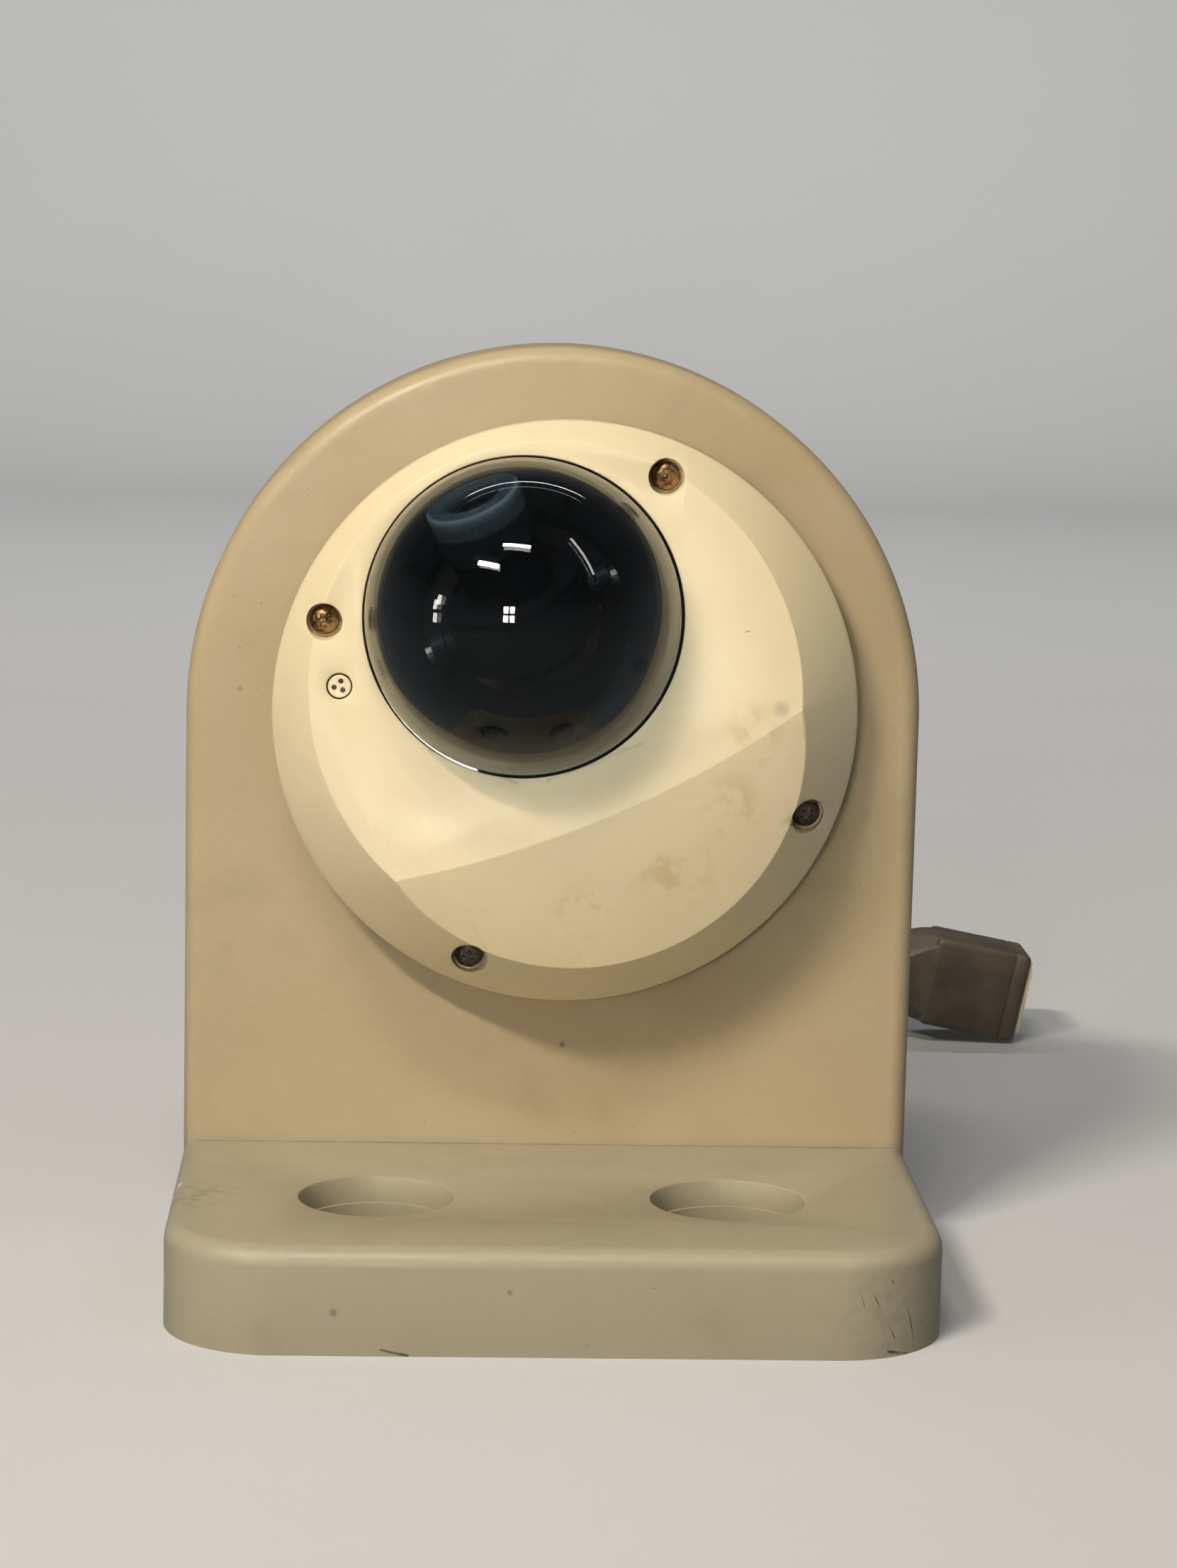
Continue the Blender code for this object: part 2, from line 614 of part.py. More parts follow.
def make_cover():
    cover = cover_solid("top_cover", 0, SKIRT_LOW, CREAM)
    cavity = cover_solid("cover_cavity", COVER_T, SKIRT_LOW - 4)
    for x, y, angle in around(4, SCREW_RING, 45):
        cut(cavity, drum("boss_keep", 4.9, BASE_TOP + 0.5, 40, parent=HEAD, sides=16,
                         at=(x, y, 0)))
    cut(cover, cavity)
    cut(cover, drum("dome_hole", DOME_R + DOME_GAP, -12, 30, parent=PAN, sides=40))
    cut(cover, drum("mic_hole", MIC_R, -12, 10, parent=PAN, sides=24, at=MIC))
    for x, y, angle in around(4, SCREW_RING, 45):
        cut(cover, drum("screw_well", WELL_R, HEAD_SEAT_W, 40, parent=HEAD, sides=20,
                        at=(x, y, 0)))
        cut(cover, drum("screw_bore", SCREW_BORE_R, 0, 40, parent=HEAD, sides=14, at=(x, y, 0)))
    for x, y, angle in ring_screw_places():
        cut(cover, drum("ring_screw_bore", 1.0, -8, -1.0, parent=PAN, sides=12, at=(x, y, 0)))
    return cover


def ring_screw_places():
    """Three of four even places: the dome comes too close to the cover's edge for the fourth."""
    return [place for place in around(4, CLAMP_SCREW_RING) if place[2] != 90]


make_cover()
for number, (x, y, angle) in enumerate(around(4, SCREW_RING, 45), 1):
    screw(f"cover_screw_{number}", 3.0, 2.4, 1.5, HEAD_SEAT_W - BASE_FLOOR - 0.6, BRONZE, HEAD, 1,
          at=(x, y, HEAD_SEAT_W + GAP))


# ---- dome window, its seal and clamp, microphone ----------------------------------------------
FLANGE_TOP = -3.6
FLANGE_LOW = -5.2
CLAMP_LOW = -7.0


def make_dome():
    inner = DOME_R - DOME_T
    profile = [(radius, height) for height, radius in arc(0, 0, DOME_R, 0, 90, 8)]
    profile += [(DOME_R, FLANGE_TOP), (DOME_R + 2.4, FLANGE_TOP), (DOME_R + 2.4, FLANGE_LOW),
                (inner, FLANGE_LOW)]
    profile += [(radius, height) for height, radius in arc(0, 0, inner, 90, 0, 6)]
    dome = turned("dome_window", profile, SMOKE, PAN, 32)
    trim = drum("flange_trim", RIM_R - COVER_T - 0.5, -10, 70, parent=HEAD, sides=60)
    return combine(dome, [trim], "INTERSECT")


make_dome()
ring("dome_seal", DOME_R + 0.8, DOME_R + 2.2, FLANGE_TOP + GAP, -COVER_T - GAP, RUBBER, PAN, 32)


def make_clamp():
    clamp = ring("dome_clamp_ring", DOME_R - 1.5, 36.9, CLAMP_LOW, FLANGE_LOW - GAP, BLACK, PAN, 32)
    room = drum("clamp_room", BASE_R - BASE_WALL - 0.6, -10, 60, parent=HEAD, sides=64)
    combine(clamp, [room], "INTERSECT")
    for side in (-1, 1):
        corner = SCREW_RING * math.sqrt(0.5)
        cut(clamp, drum("boss_room", 5.4, -10, 60, parent=HEAD, at=(side * corner, corner, 0)))
    for number, (x, y, angle) in enumerate(ring_screw_places(), 1):
        cut(clamp, drum("clamp_screw_hole", 1.0, -10, 0, parent=PAN, sides=12, at=(x, y, 0)))
        turned(f"dome_ring_screw_{number}", [(0, 5.6), (0.7, 5.6), (0.7, 0), (1.5, 0), (1.5, -1.0),
                                             (0, -1.0)], STEEL, PAN, 16, at=(x, y, CLAMP_LOW - GAP))


make_clamp()


def make_microphone():
    port = drum("microphone_port", MIC_R - GAP, -3.4, -0.35, CREAM, PAN, 28, at=MIC)
    for x, y, angle in around(3, 1.05, 170):
        cut(port, drum("mic_opening", 0.5, -1.6, 2, parent=PAN, sides=12,
                       at=(MIC[0] + x, MIC[1] + y, 0)))
    drum("microphone_capsule", 1.7, -6.4, -3.7, BLACK, PAN, 20, at=MIC)


make_microphone()


# ---- electronics ------------------------------------------------------------------------------
BOARD_T = 1.6
BOARD_TOP = BOARD_W + BOARD_T
ON_BOARD = BOARD_TOP + GAP


def make_board():
    board = drum("main_board", 46.3, BOARD_W, BOARD_TOP, BOARD, HEAD, 48)
    cut(board,
        block("board_edge", (120, 80, 10), (0, 40 - 9.5, BOARD_W), parent=HEAD),
        drum("board_gland_gap", 10.2, 0, 12, parent=HEAD, at=(0, GLAND_V, 0)),
        drum("board_screw_gap", 4.2, 0, 12, parent=HEAD, sides=20, at=(0, -46, 0)))
    for number, (x, y) in enumerate(BOARD_SCREWS, 1):
        cut(board, drum("board_hole", 1.2, 0, 12, parent=HEAD, sides=12, at=(x, y, 0)))
        screw(f"board_screw_{number}", 1.9, 1.1, 0.8, 3.6, STEEL, HEAD, at=(x, y, ON_BOARD),
              sides=16)
    block("processor_chip", (13, 13, 1.8), (-17, -30, ON_BOARD + 0.9), BLACK, HEAD)
    sink = block("heat_sink", (14, 14, 4.4), (-17, -30, ON_BOARD + 4.3), ALU, HEAD)
    for index in range(5):
        cut(sink, block("fin_gap", (1.4, 20, 6), (-17 + (index - 2) * 2.6, -30, ON_BOARD + 6.5),
                        parent=HEAD))
    transformer = block("network_transformer", (13, 11, 5.4), (18, -22, ON_BOARD + 2.7), BLACK, HEAD)
    round_edges(transformer, 0.4, 1)
    socket = block("memory_card_socket", (12, 12.5, 2.2), (33.5, -17, ON_BOARD + 1.1), STEEL, HEAD)
    cut(socket, block("card_slot", (10, 12, 1.0), (33.5, -22, ON_BOARD + 1.1), parent=HEAD))
    switch = block("reset_switch", (5.6, 5.6, 3.2), (-31, -26, ON_BOARD + 1.6), BLACK, HEAD)
    cut(switch, drum("button_bore", 1.9, ON_BOARD + 1.2, 20, parent=HEAD, sides=20,
                     at=(-31, -26, 0)))
    drum("reset_button", 1.6, ON_BOARD + 1.8, ON_BOARD + 4.2, WHITE, HEAD, 20, at=(-31, -26, 0))


make_board()


# ---- pan stage --------------------------------------------------------------------------------
TABLE_LOW = -9.2
TABLE_TOP = -7.4
ARM_U = 17.5
ARM_T = 2.6


def make_pan_stage():
    foot = ring("pan_base", 20.0, 28.4, -22, TABLE_LOW - GAP, BLACK, PAN)
    cut(foot, block("pan_base_floor", (100, 100, 30), (0, DOME_V, BASE_FLOOR + GAP - 15),
                    parent=HEAD))
    turned("pan_retainer", [(28.6, -6.0), (28.6, TABLE_LOW), (27.0, TABLE_LOW), (27.0, -7.1),
                            (24.6, -7.1), (24.6, -6.0)], BLACK, PAN)
    table = ring("pan_turntable", 15.5, 26.5, TABLE_LOW, TABLE_TOP, BLACK, PAN)
    for side in (-1, 1):
        arm = block("arm_shape", (ARM_T, 10, -TABLE_TOP + 1), (side * ARM_U, 0, TABLE_TOP / 2 - 0.5),
                    parent=PAN)
        eye = drum("arm_eye", 5, -ARM_T / 2, ARM_T / 2, parent=PAN, sides=28,
                   at=(side * ARM_U, 0, 0), turn=(0, 90, 0))
        join(table, arm, eye)
    cut(table, drum("pivot_hole", 1.5, -30, 30, parent=PAN, sides=16, turn=(0, 90, 0)))
    liner = turned("inner_liner", [(28.6, -2.1), (28.6, -3.2), (24.4, -4.5), (21.0, -5.6),
                                   (21.0, -4.5)], BLACK, PAN, 32)
    for x, y, angle in around(4, 25.2, 225):
        cut(liner, drum("liner_opening", 1.6, -8, 2, parent=PAN, sides=14, at=(x, y, 0)))


make_pan_stage()


# ---- tilt stage and lens ----------------------------------------------------------------------
def make_tilt_stage():
    cradle = ring("tilt_cradle", 12.3, 14.6, -5, 5, BLACK, LENS)
    for side in (-1, 1):
        boss = drum("cradle_boss", 3.6, 13.4, 15.9, parent=LENS, sides=24,
                    turn=(0, 90 * side, 0))
        join(cradle, boss)
        cut(cradle, drum("cradle_bore", 1.5, 13.9, 20, parent=LENS, sides=16,
                         turn=(0, 90 * side, 0)))
        turned(f"tilt_pivot_screw_{1 if side < 0 else 2}", [
            (0, 20.4), (2.6, 20.4), (2.6, ARM_U + ARM_T / 2 + GAP), (1.2, ARM_U + ARM_T / 2 + GAP),
            (1.2, 14.3), (0, 14.3)], STEEL, LENS, 14, turn=(0, 90 * side, 0))


def make_lens():
    turned("roll_ring", [(13.8, 6.6), (13.8, 5.3), (11.9, 5.3), (11.9, -5.2), (9.0, -5.2),
                         (9.0, 6.6)], BLACK, LENS)
    ring("lens_holder", 6.9, 8.6, -8.6, 16.4, BLACK, LENS, 24)
    turned("lens_bezel", [(5.3, 26.4), (5.9, 27.3), (8.7, 27.3), (9.5, 26.4), (9.5, 16.8), (8.2, 16.8),
                          (8.2, 25.2), (5.3, 25.2)], BLACK, LENS)
    turned("lens_barrel", [(3.2, 25.6), (4.9, 25.6), (4.9, 21.0), (6.3, 21.0), (6.3, -4.0), (4.4, -4.0),
                           (4.4, 22.6), (3.2, 22.6)], BLACK, LENS, 24)
    turned("lens_front_glass", [(0, 25.3), (1.0, 25.25), (2.0, 25.0), (2.9, 24.5), (2.9, 22.2),
                                (4.1, 22.2), (4.1, 20.8), (0, 20.8)], GLASS, LENS, 16)
    ring("lens_lock_ring", 6.6, 7.9, 17.0, 19.2, BRASS, LENS, 24)
    drum("sensor_board", 9.6, -10.4, -9.2, BOARD, LENS, 8)
    block("sensor_chip", (7.4, 7.4, 1.2), (0, 0, -8.2), GLASS, LENS)


make_tilt_stage()
make_lens()
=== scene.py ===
"""Looks of the compact dome camera and its bracket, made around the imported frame.

Lengths below are in millimetres, as in the drawing, and mm() turns them into metres.
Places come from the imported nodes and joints: the head frame has u to its right, v up and w out
of the bracket's plate, and the lens frame points along the lens.
"""
import json
import math

import bmesh
import bpy
from mathutils import Matrix, Vector


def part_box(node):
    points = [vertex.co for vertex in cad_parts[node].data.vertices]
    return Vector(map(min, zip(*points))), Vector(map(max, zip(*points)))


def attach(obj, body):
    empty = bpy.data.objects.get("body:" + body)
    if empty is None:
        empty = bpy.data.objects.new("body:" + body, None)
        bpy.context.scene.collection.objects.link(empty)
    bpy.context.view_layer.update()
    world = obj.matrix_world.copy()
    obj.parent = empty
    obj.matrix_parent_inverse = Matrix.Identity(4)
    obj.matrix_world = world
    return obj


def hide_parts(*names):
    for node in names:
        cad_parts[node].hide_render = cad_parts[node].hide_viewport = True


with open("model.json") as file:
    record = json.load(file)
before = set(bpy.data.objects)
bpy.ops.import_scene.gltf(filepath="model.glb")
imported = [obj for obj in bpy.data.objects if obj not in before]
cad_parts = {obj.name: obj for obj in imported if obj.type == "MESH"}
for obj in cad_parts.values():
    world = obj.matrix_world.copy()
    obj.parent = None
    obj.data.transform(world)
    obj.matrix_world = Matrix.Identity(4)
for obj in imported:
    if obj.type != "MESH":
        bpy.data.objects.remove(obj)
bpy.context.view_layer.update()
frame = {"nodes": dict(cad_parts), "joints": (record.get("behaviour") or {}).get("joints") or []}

MM = 0.001

# ---- driving dimensions, in millimetres -------------------------------------------------------
EDGE_R = 3.8               # rounding of the bracket's edges
FOOT_CORNER = 21.6         # plan radius of the foot's front corners
BORE_X = 34.6              # counterbores in the foot
BORE_FROM_PLATE = 41.4
BORE_R = 15.1
BORE_DEPTH = 14.0
LIP_DEPTH = 5.5
PANEL_INSET = 3.0
PANEL_T = 2.5

RIM_R = 59.1               # cover: widest circle, and its height over the plate
RIM_W = 8.5
SKIRT_LOW = 5.0
CHAMFER = 0.75             # the flank closes in this much per unit of height
FACE_TOP_V = 56.0
FACE_TOP_H = 4.2
FACE_SLOPE = 0.18
LOWER_SLOPE = 0.19
RIDGE_MID_V = -19.7
RIDGE_END_V = -15.1
RIDGE_HALF = 44.0
COVER_T = 2.6
HEAD_SEAT_W = 10.5
SCREW_RING = 52.1          # cover screws, at 45 degrees and on
SCREW_FIRST = 45.0
SCREW_WELL_R = 3.6
SCREW_HOLE_R = 1.8
MOUNT_RING = 46.0          # three screws that hold the camera's base
GLAND_V = -18.0            # where the inner lead leaves the base
DOME_V = 22.7
DOME_R = 31.5
DOME_T = 2.3
DOME_SCREW_RING = 35.4
FLANGE_TOP = -3.6
FLANGE_LOW = -5.2
MIC = (-39.0, 1.5)
MIC_HOLE_RING = 1.05       # three holes, at 170 degrees and on
MIC_FIRST = 170.0
CABLE_R = 2.75
CORD_EXIT_Z = 40.0
CONNECTOR = (19.0, 23.0, 25.0)


def mm(*values):
    """Millimetres to metres, for one number or for a vector."""
    if len(values) == 1:
        return values[0] * MM
    return Vector(values) * MM


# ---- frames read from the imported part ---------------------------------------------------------
def axes_matrix(x, y, z, origin):
    rotation = Matrix((x, y, z)).transposed()
    return Matrix.Translation(origin) @ rotation.to_4x4()


joints = {joint["name"]: joint for joint in frame["joints"]}
U = Vector(joints["tilt"]["axis"]).normalized()
W = Vector((0, -1, 0))
V = W.cross(U)
PAN_AXIS = Vector(joints["pan"]["axis"]).normalized()
LENS_AXIS = Vector(joints["roll"]["axis"]).normalized()
DOME_CENTRE = Vector(joints["pan"]["pos_m"])

body_low, body_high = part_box("bracket_body")
base_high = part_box("camera_base")[1]
HALF_W = body_high[0] / MM
PLATE_BACK = body_high[1] / MM
FOOT_FRONT = body_low[1] / MM
TOP_Z = body_high[2] / MM
PLATE_FRONT = base_high[1] / MM + 0.3
ARCH_Z = TOP_Z - HALF_W
FOOT_H = 20.7
BORE_Y = PLATE_FRONT - BORE_FROM_PLATE


def face_height(v):
    """Height of the sloping face over the plate, along the head's middle line."""
    return RIM_W + FACE_TOP_H + FACE_SLOPE * (FACE_TOP_V - v)


HEAD_ORIGIN = DOME_CENTRE - V * mm(DOME_V) - W * mm(face_height(DOME_V))
WORLD = Matrix.Identity(4)
HEAD = axes_matrix(U, V, W, HEAD_ORIGIN)
PAN = axes_matrix(U, PAN_AXIS.cross(U), PAN_AXIS, DOME_CENTRE)
LENS = axes_matrix(U, LENS_AXIS.cross(U), LENS_AXIS, DOME_CENTRE)
UPRIGHT = Matrix.Rotation(math.radians(90), 4, "X")     # an outline's x, y become X, Z


# ---- camera and stage -------------------------------------------------------------------------
def make_camera():
    """A long lens a little to the left and above, looking slightly down."""
    data = bpy.data.cameras.new("view")
    data.lens = 89.5
    data.sensor_width = 36.0
    data.clip_end = 100.0
    camera = bpy.data.objects.new("view", data)
    yaw, pitch, roll = 0.0450, 0.1591, -0.0229
    ahead = Vector((math.sin(yaw) * math.cos(pitch), math.cos(yaw) * math.cos(pitch),
                    -math.sin(pitch)))
    level_right = Vector((math.cos(yaw), -math.sin(yaw), 0))
    level_down = ahead.cross(level_right)
    right = math.cos(roll) * level_right + math.sin(roll) * level_down
    down = -math.sin(roll) * level_right + math.cos(roll) * level_down
    place = mm(-28.2, -785.6 + PLATE_FRONT, 202.0 + FOOT_H)
    camera.matrix_world = axes_matrix(right, -down, -ahead, place)
    bpy.context.scene.collection.objects.link(camera)
    bpy.context.scene.camera = camera


def add_light(name, place, target, size, power, colour=(1, 1, 1), size_y=None):
    data = bpy.data.lights.new(name, "AREA")
    data.energy = power
    data.color = colour
    data.size = size
    if size_y is not None:
        data.shape = "RECTANGLE"
        data.size_y = size_y
    light = bpy.data.objects.new(name, data)
    light.location = place
    light.rotation_euler = (Vector(target) - Vector(place)).to_track_quat("-Z", "Y").to_euler()
    bpy.context.scene.collection.objects.link(light)
    return light


make_camera()

# ---- meshes -----------------------------------------------------------------------------------
scratch = bpy.data.collections.new("scratch")
bpy.context.scene.collection.children.link(scratch)


def new_object(name, mesh, matrix=WORLD):
    piece = bpy.data.objects.new(name, mesh)
    piece.matrix_world = matrix
    scratch.objects.link(piece)
    return piece


def drum(radius, low, high, sides=96, top_radius=None, matrix=WORLD, at=(0, 0, 0)):
    shape = bmesh.new()
    top = radius if top_radius is None else top_radius
    bmesh.ops.create_cone(shape, cap_ends=True, segments=sides, radius1=mm(radius),
                          radius2=mm(top), depth=mm(high - low))
    bmesh.ops.translate(shape, verts=shape.verts,
                        vec=mm(*at) + mm(0, 0, (low + high) / 2))
    mesh = bpy.data.meshes.new("drum")
    shape.to_mesh(mesh)
    shape.free()
    return new_object("drum", mesh, matrix)


def block(size, middle=(0, 0, 0), matrix=WORLD):
    shape = bmesh.new()
    bmesh.ops.create_cube(shape, size=1.0)
    bmesh.ops.scale(shape, verts=shape.verts, vec=mm(*size))
    bmesh.ops.translate(shape, verts=shape.verts, vec=mm(*middle))
    mesh = bpy.data.meshes.new("block")
    shape.to_mesh(mesh)
    shape.free()
    return new_object("block", mesh, matrix)


def slab(points, low, high, matrix=WORLD):
    """A flat outline in x and y, made solid from low to high."""
    shape = bmesh.new()
    corners = [shape.verts.new(mm(x, y, low)) for x, y in points]
    base = shape.faces.new(corners)
    grown = bmesh.ops.extrude_face_region(shape, geom=[base])
    top = [item for item in grown["geom"] if isinstance(item, bmesh.types.BMVert)]
    bmesh.ops.translate(shape, verts=top, vec=mm(0, 0, high - low))
    bmesh.ops.recalc_face_normals(shape, faces=shape.faces)
    mesh = bpy.data.meshes.new("slab")
    shape.to_mesh(mesh)
    shape.free()
    return new_object("slab", mesh, matrix)


def turned(profile, sides=128, matrix=WORLD, at=(0, 0, 0)):
    """A solid of revolution: (radius, height) down the outer side, closed or ending on the axis."""
    mesh = bpy.data.meshes.new("turned")
    closed = min(radius for radius, height in profile) > 0
    edges = [(i, i + 1) for i in range(len(profile) - 1)]
    if closed:
        edges.append((len(profile) - 1, 0))
    mesh.from_pydata([mm(radius, 0, height) for radius, height in profile], edges, [])
    piece = new_object("turned", mesh, matrix @ Matrix.Translation(mm(*at)))
    screw = piece.modifiers.new("turn", "SCREW")
    screw.steps = sides
    screw.render_steps = sides
    screw.use_merge_vertices = True
    screw.merge_threshold = 0.000001
    return solid(piece)


def solid(piece):
    """Turns an object and its modifiers into a plain mesh object."""
    bpy.context.view_layer.update()
    evaluated = piece.evaluated_get(bpy.context.evaluated_depsgraph_get())
    mesh = bpy.data.meshes.new_from_object(evaluated)
    mesh.name = piece.name
    fresh = new_object(piece.name, mesh, piece.matrix_world.copy())
    bpy.data.objects.remove(piece)
    return fresh


def boolean(piece, others, operation="DIFFERENCE"):
    for other in others:
        step = piece.modifiers.new(operation, "BOOLEAN")
        step.operation = operation
        step.solver = "EXACT"
        step.object = other
    result = solid(piece)
    for other in others:
        bpy.data.objects.remove(other)
    return result


def soften(piece, width, segments=3, angle=25.0, weld=0.0):
    """Rounds the edges sharper than the angle, after joining points closer than weld."""
    if weld:
        joined = piece.modifiers.new("weld", "WELD")
        joined.merge_threshold = mm(weld)
    bevel = piece.modifiers.new("soften", "BEVEL")
    bevel.width = mm(width)
    bevel.segments = segments
    bevel.limit_method = "ANGLE"
    bevel.angle_limit = math.radians(angle)
    bevel.use_clamp_overlap = False
    bevel.miter_outer = "MITER_ARC"
    return solid(piece)


def weld(piece, distance):
    """Joins points that a cut has left closer than the distance, and closes slits between them."""
    shape = bmesh.new()
    shape.from_mesh(piece.data)
    bmesh.ops.remove_doubles(shape, verts=shape.verts, dist=mm(distance))
    bmesh.ops.dissolve_degenerate(shape, edges=shape.edges, dist=mm(distance) / 4)
    bmesh.ops.holes_fill(shape, edges=[edge for edge in shape.edges if edge.is_boundary], sides=8)
    shape.to_mesh(piece.data)
    shape.free()


def finish_piece(piece, name, material, body, slot, *nodes, angle=30.0):
    """Names a piece, shades it, and ties it to its body and the CAD nodes it stands for; the slot
    argument is not used.
    """
    piece.name = name
    piece.data.name = name
    piece.data.transform(piece.matrix_world)
    piece.matrix_world = WORLD
    piece.data.shade_smooth()
    piece.data.set_sharp_from_angle(angle=math.radians(angle))
    piece.data.materials.clear()
    piece.data.materials.append(material)
    scratch.objects.unlink(piece)
    bpy.context.scene.collection.objects.link(piece)
    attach(piece, body)
    if nodes:
        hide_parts(*nodes)
    return piece


def arc(cx, cy, radius, start, end, steps):
    for index in range(steps + 1):
        angle = math.radians(start + (end - start) * index / steps)
        yield (cx + radius * math.cos(angle), cy + radius * math.sin(angle))


def around(count, radius, first=0.0):
    for index in range(count):
        angle = first + 360.0 * index / count
        turn = math.radians(angle)
        yield (radius * math.cos(turn), radius * math.sin(turn), angle)


# ---- material building ------------------------------------------------------------------------
class Shade:
    """A small helper that lays out one material's nodes."""

    def __init__(self, name):
        self.material = bpy.data.materials.new(name)
        self.material.use_nodes = True
        self.tree = self.material.node_tree
        self.tree.nodes.clear()
        self.shader = self.tree.nodes.new("ShaderNodeBsdfPrincipled")
        self.output = self.tree.nodes.new("ShaderNodeOutputMaterial")
        self.tree.links.new(self.shader.outputs[0], self.output.inputs["Surface"])
        self.place = self.tree.nodes.new("ShaderNodeTexCoord").outputs["Object"]

    def link(self, value, socket):
        if isinstance(value, bpy.types.NodeSocket):
            self.tree.links.new(value, socket)
        elif hasattr(socket.default_value, "__len__") and len(socket.default_value) == 4:
            socket.default_value = (*value, 1.0)
        else:
            socket.default_value = value

    def set(self, **values):
        for name, value in values.items():
            self.link(value, self.shader.inputs[name.replace("_", " ")])
        return self

    def math(self, operation, a, b=0.0, clamp=False):
        node = self.tree.nodes.new("ShaderNodeMath")
        node.operation = operation
        node.use_clamp = clamp
        self.link(a, node.inputs[0])
        self.link(b, node.inputs[1])
        return node.outputs[0]

    def vector(self, operation, a, b=(0, 0, 0)):
        node = self.tree.nodes.new("ShaderNodeVectorMath")
        node.operation = operation
        self.link(a, node.inputs[0])
        self.link(b, node.inputs[1])
        return node.outputs["Value" if operation in ("DOT_PRODUCT", "LENGTH", "DISTANCE")
                            else "Vector"]

    def noise(self, size, detail=3.0, stretch=(1, 1, 1), distortion=0.0):
        """Noise whose blobs are about size millimetres across."""
        node = self.tree.nodes.new("ShaderNodeTexNoise")
        node.inputs["Scale"].default_value = 1 / mm(size)
        node.inputs["Detail"].default_value = detail
        node.inputs["Distortion"].default_value = distortion
        place = self.place
        if stretch != (1, 1, 1):
            place = self.vector("MULTIPLY", place, stretch)
        self.tree.links.new(place, node.inputs["Vector"])
        return node.outputs["Fac"]

    def cells(self, size):
        """Distance to the nearest of scattered points about size millimetres apart, 0 to 1."""
        node = self.tree.nodes.new("ShaderNodeTexVoronoi")
        node.inputs["Scale"].default_value = 1 / mm(size)
        self.tree.links.new(self.place, node.inputs["Vector"])
        return node.outputs["Distance"]

    def ramp(self, value, low, high, out_low=0.0, out_high=1.0):
        node = self.tree.nodes.new("ShaderNodeMapRange")
        node.interpolation_type = "SMOOTHSTEP"
        for socket, number in zip(list(node.inputs)[1:5], (low, high, out_low, out_high)):
            socket.default_value = number
        self.link(value, node.inputs[0])
        return node.outputs[0]

    def mix(self, factor, a, b):
        node = self.tree.nodes.new("ShaderNodeMix")
        node.data_type = "RGBA"
        self.link(factor, node.inputs["Factor"])
        self.link(a, node.inputs[6])
        self.link(b, node.inputs[7])
        return node.outputs[2]

    def both(self, *masks):
        """The product of masks."""
        product = masks[0]
        for mask in masks[1:]:
            product = self.math("MULTIPLY", product, mask)
        return product

    def spot(self, middle, radius, ragged=0.35, squeeze=(1, 1, 1)):
        """1 at a place, falling to 0 at about radius millimetres, with an uneven edge."""
        away = self.vector("SUBTRACT", self.place, tuple(middle))
        away = self.vector("LENGTH", self.vector("MULTIPLY", away, squeeze))
        wobble = self.math("MULTIPLY_ADD", self.noise(radius * 0.8, 4.0), mm(radius * ragged * 2))
        wobble.node.inputs[2].default_value = -mm(radius * ragged)
        return self.ramp(self.math("ADD", away, wobble), mm(radius), mm(radius) * 0.25)

    def stroke(self, start, end, width, wobble=0.4):
        """1 along a line from start to end, for a scratch or a rubbed edge."""
        start, end = Vector(start), Vector(end)
        along = end - start
        away = self.vector("SUBTRACT", self.place, tuple(start))
        share = self.math("DIVIDE", self.vector("DOT_PRODUCT", away, tuple(along)),
                          along.length_squared, clamp=True)
        node = self.tree.nodes.new("ShaderNodeVectorMath")
        node.operation = "SCALE"
        node.inputs[0].default_value = along
        self.tree.links.new(share, node.inputs["Scale"])
        gap = self.vector("DISTANCE", away, node.outputs[0])
        shake = self.math("MULTIPLY", self.noise(3.0, 2.0), mm(wobble))
        gap = self.math("ADD", gap, shake)
        return self.ramp(gap, mm(width + wobble * 0.5), mm(wobble * 0.5))

    def bump(self, height, depth, strength=1.0):
        """Bumps depth millimetres high."""
        node = self.tree.nodes.new("ShaderNodeBump")
        node.inputs["Distance"].default_value = mm(depth)
        node.inputs["Strength"].default_value = strength
        self.link(height, node.inputs["Height"])
        self.tree.links.new(node.outputs[0], self.shader.inputs["Normal"])
        return self


def head_point(u, v, lift=0.0):
    """A point on the cover's two facets, above the head's middle line."""
    top = face_height(v) + min(0.0, LOWER_SLOPE * (v - ridge_v(u)))
    return HEAD @ mm(u, v, top + lift)


def ridge_v(u):
    """Where the upper facet meets the lower one, on a slightly curved line."""
    return RIDGE_MID_V + (RIDGE_END_V - RIDGE_MID_V) * (u / RIDGE_HALF) ** 2


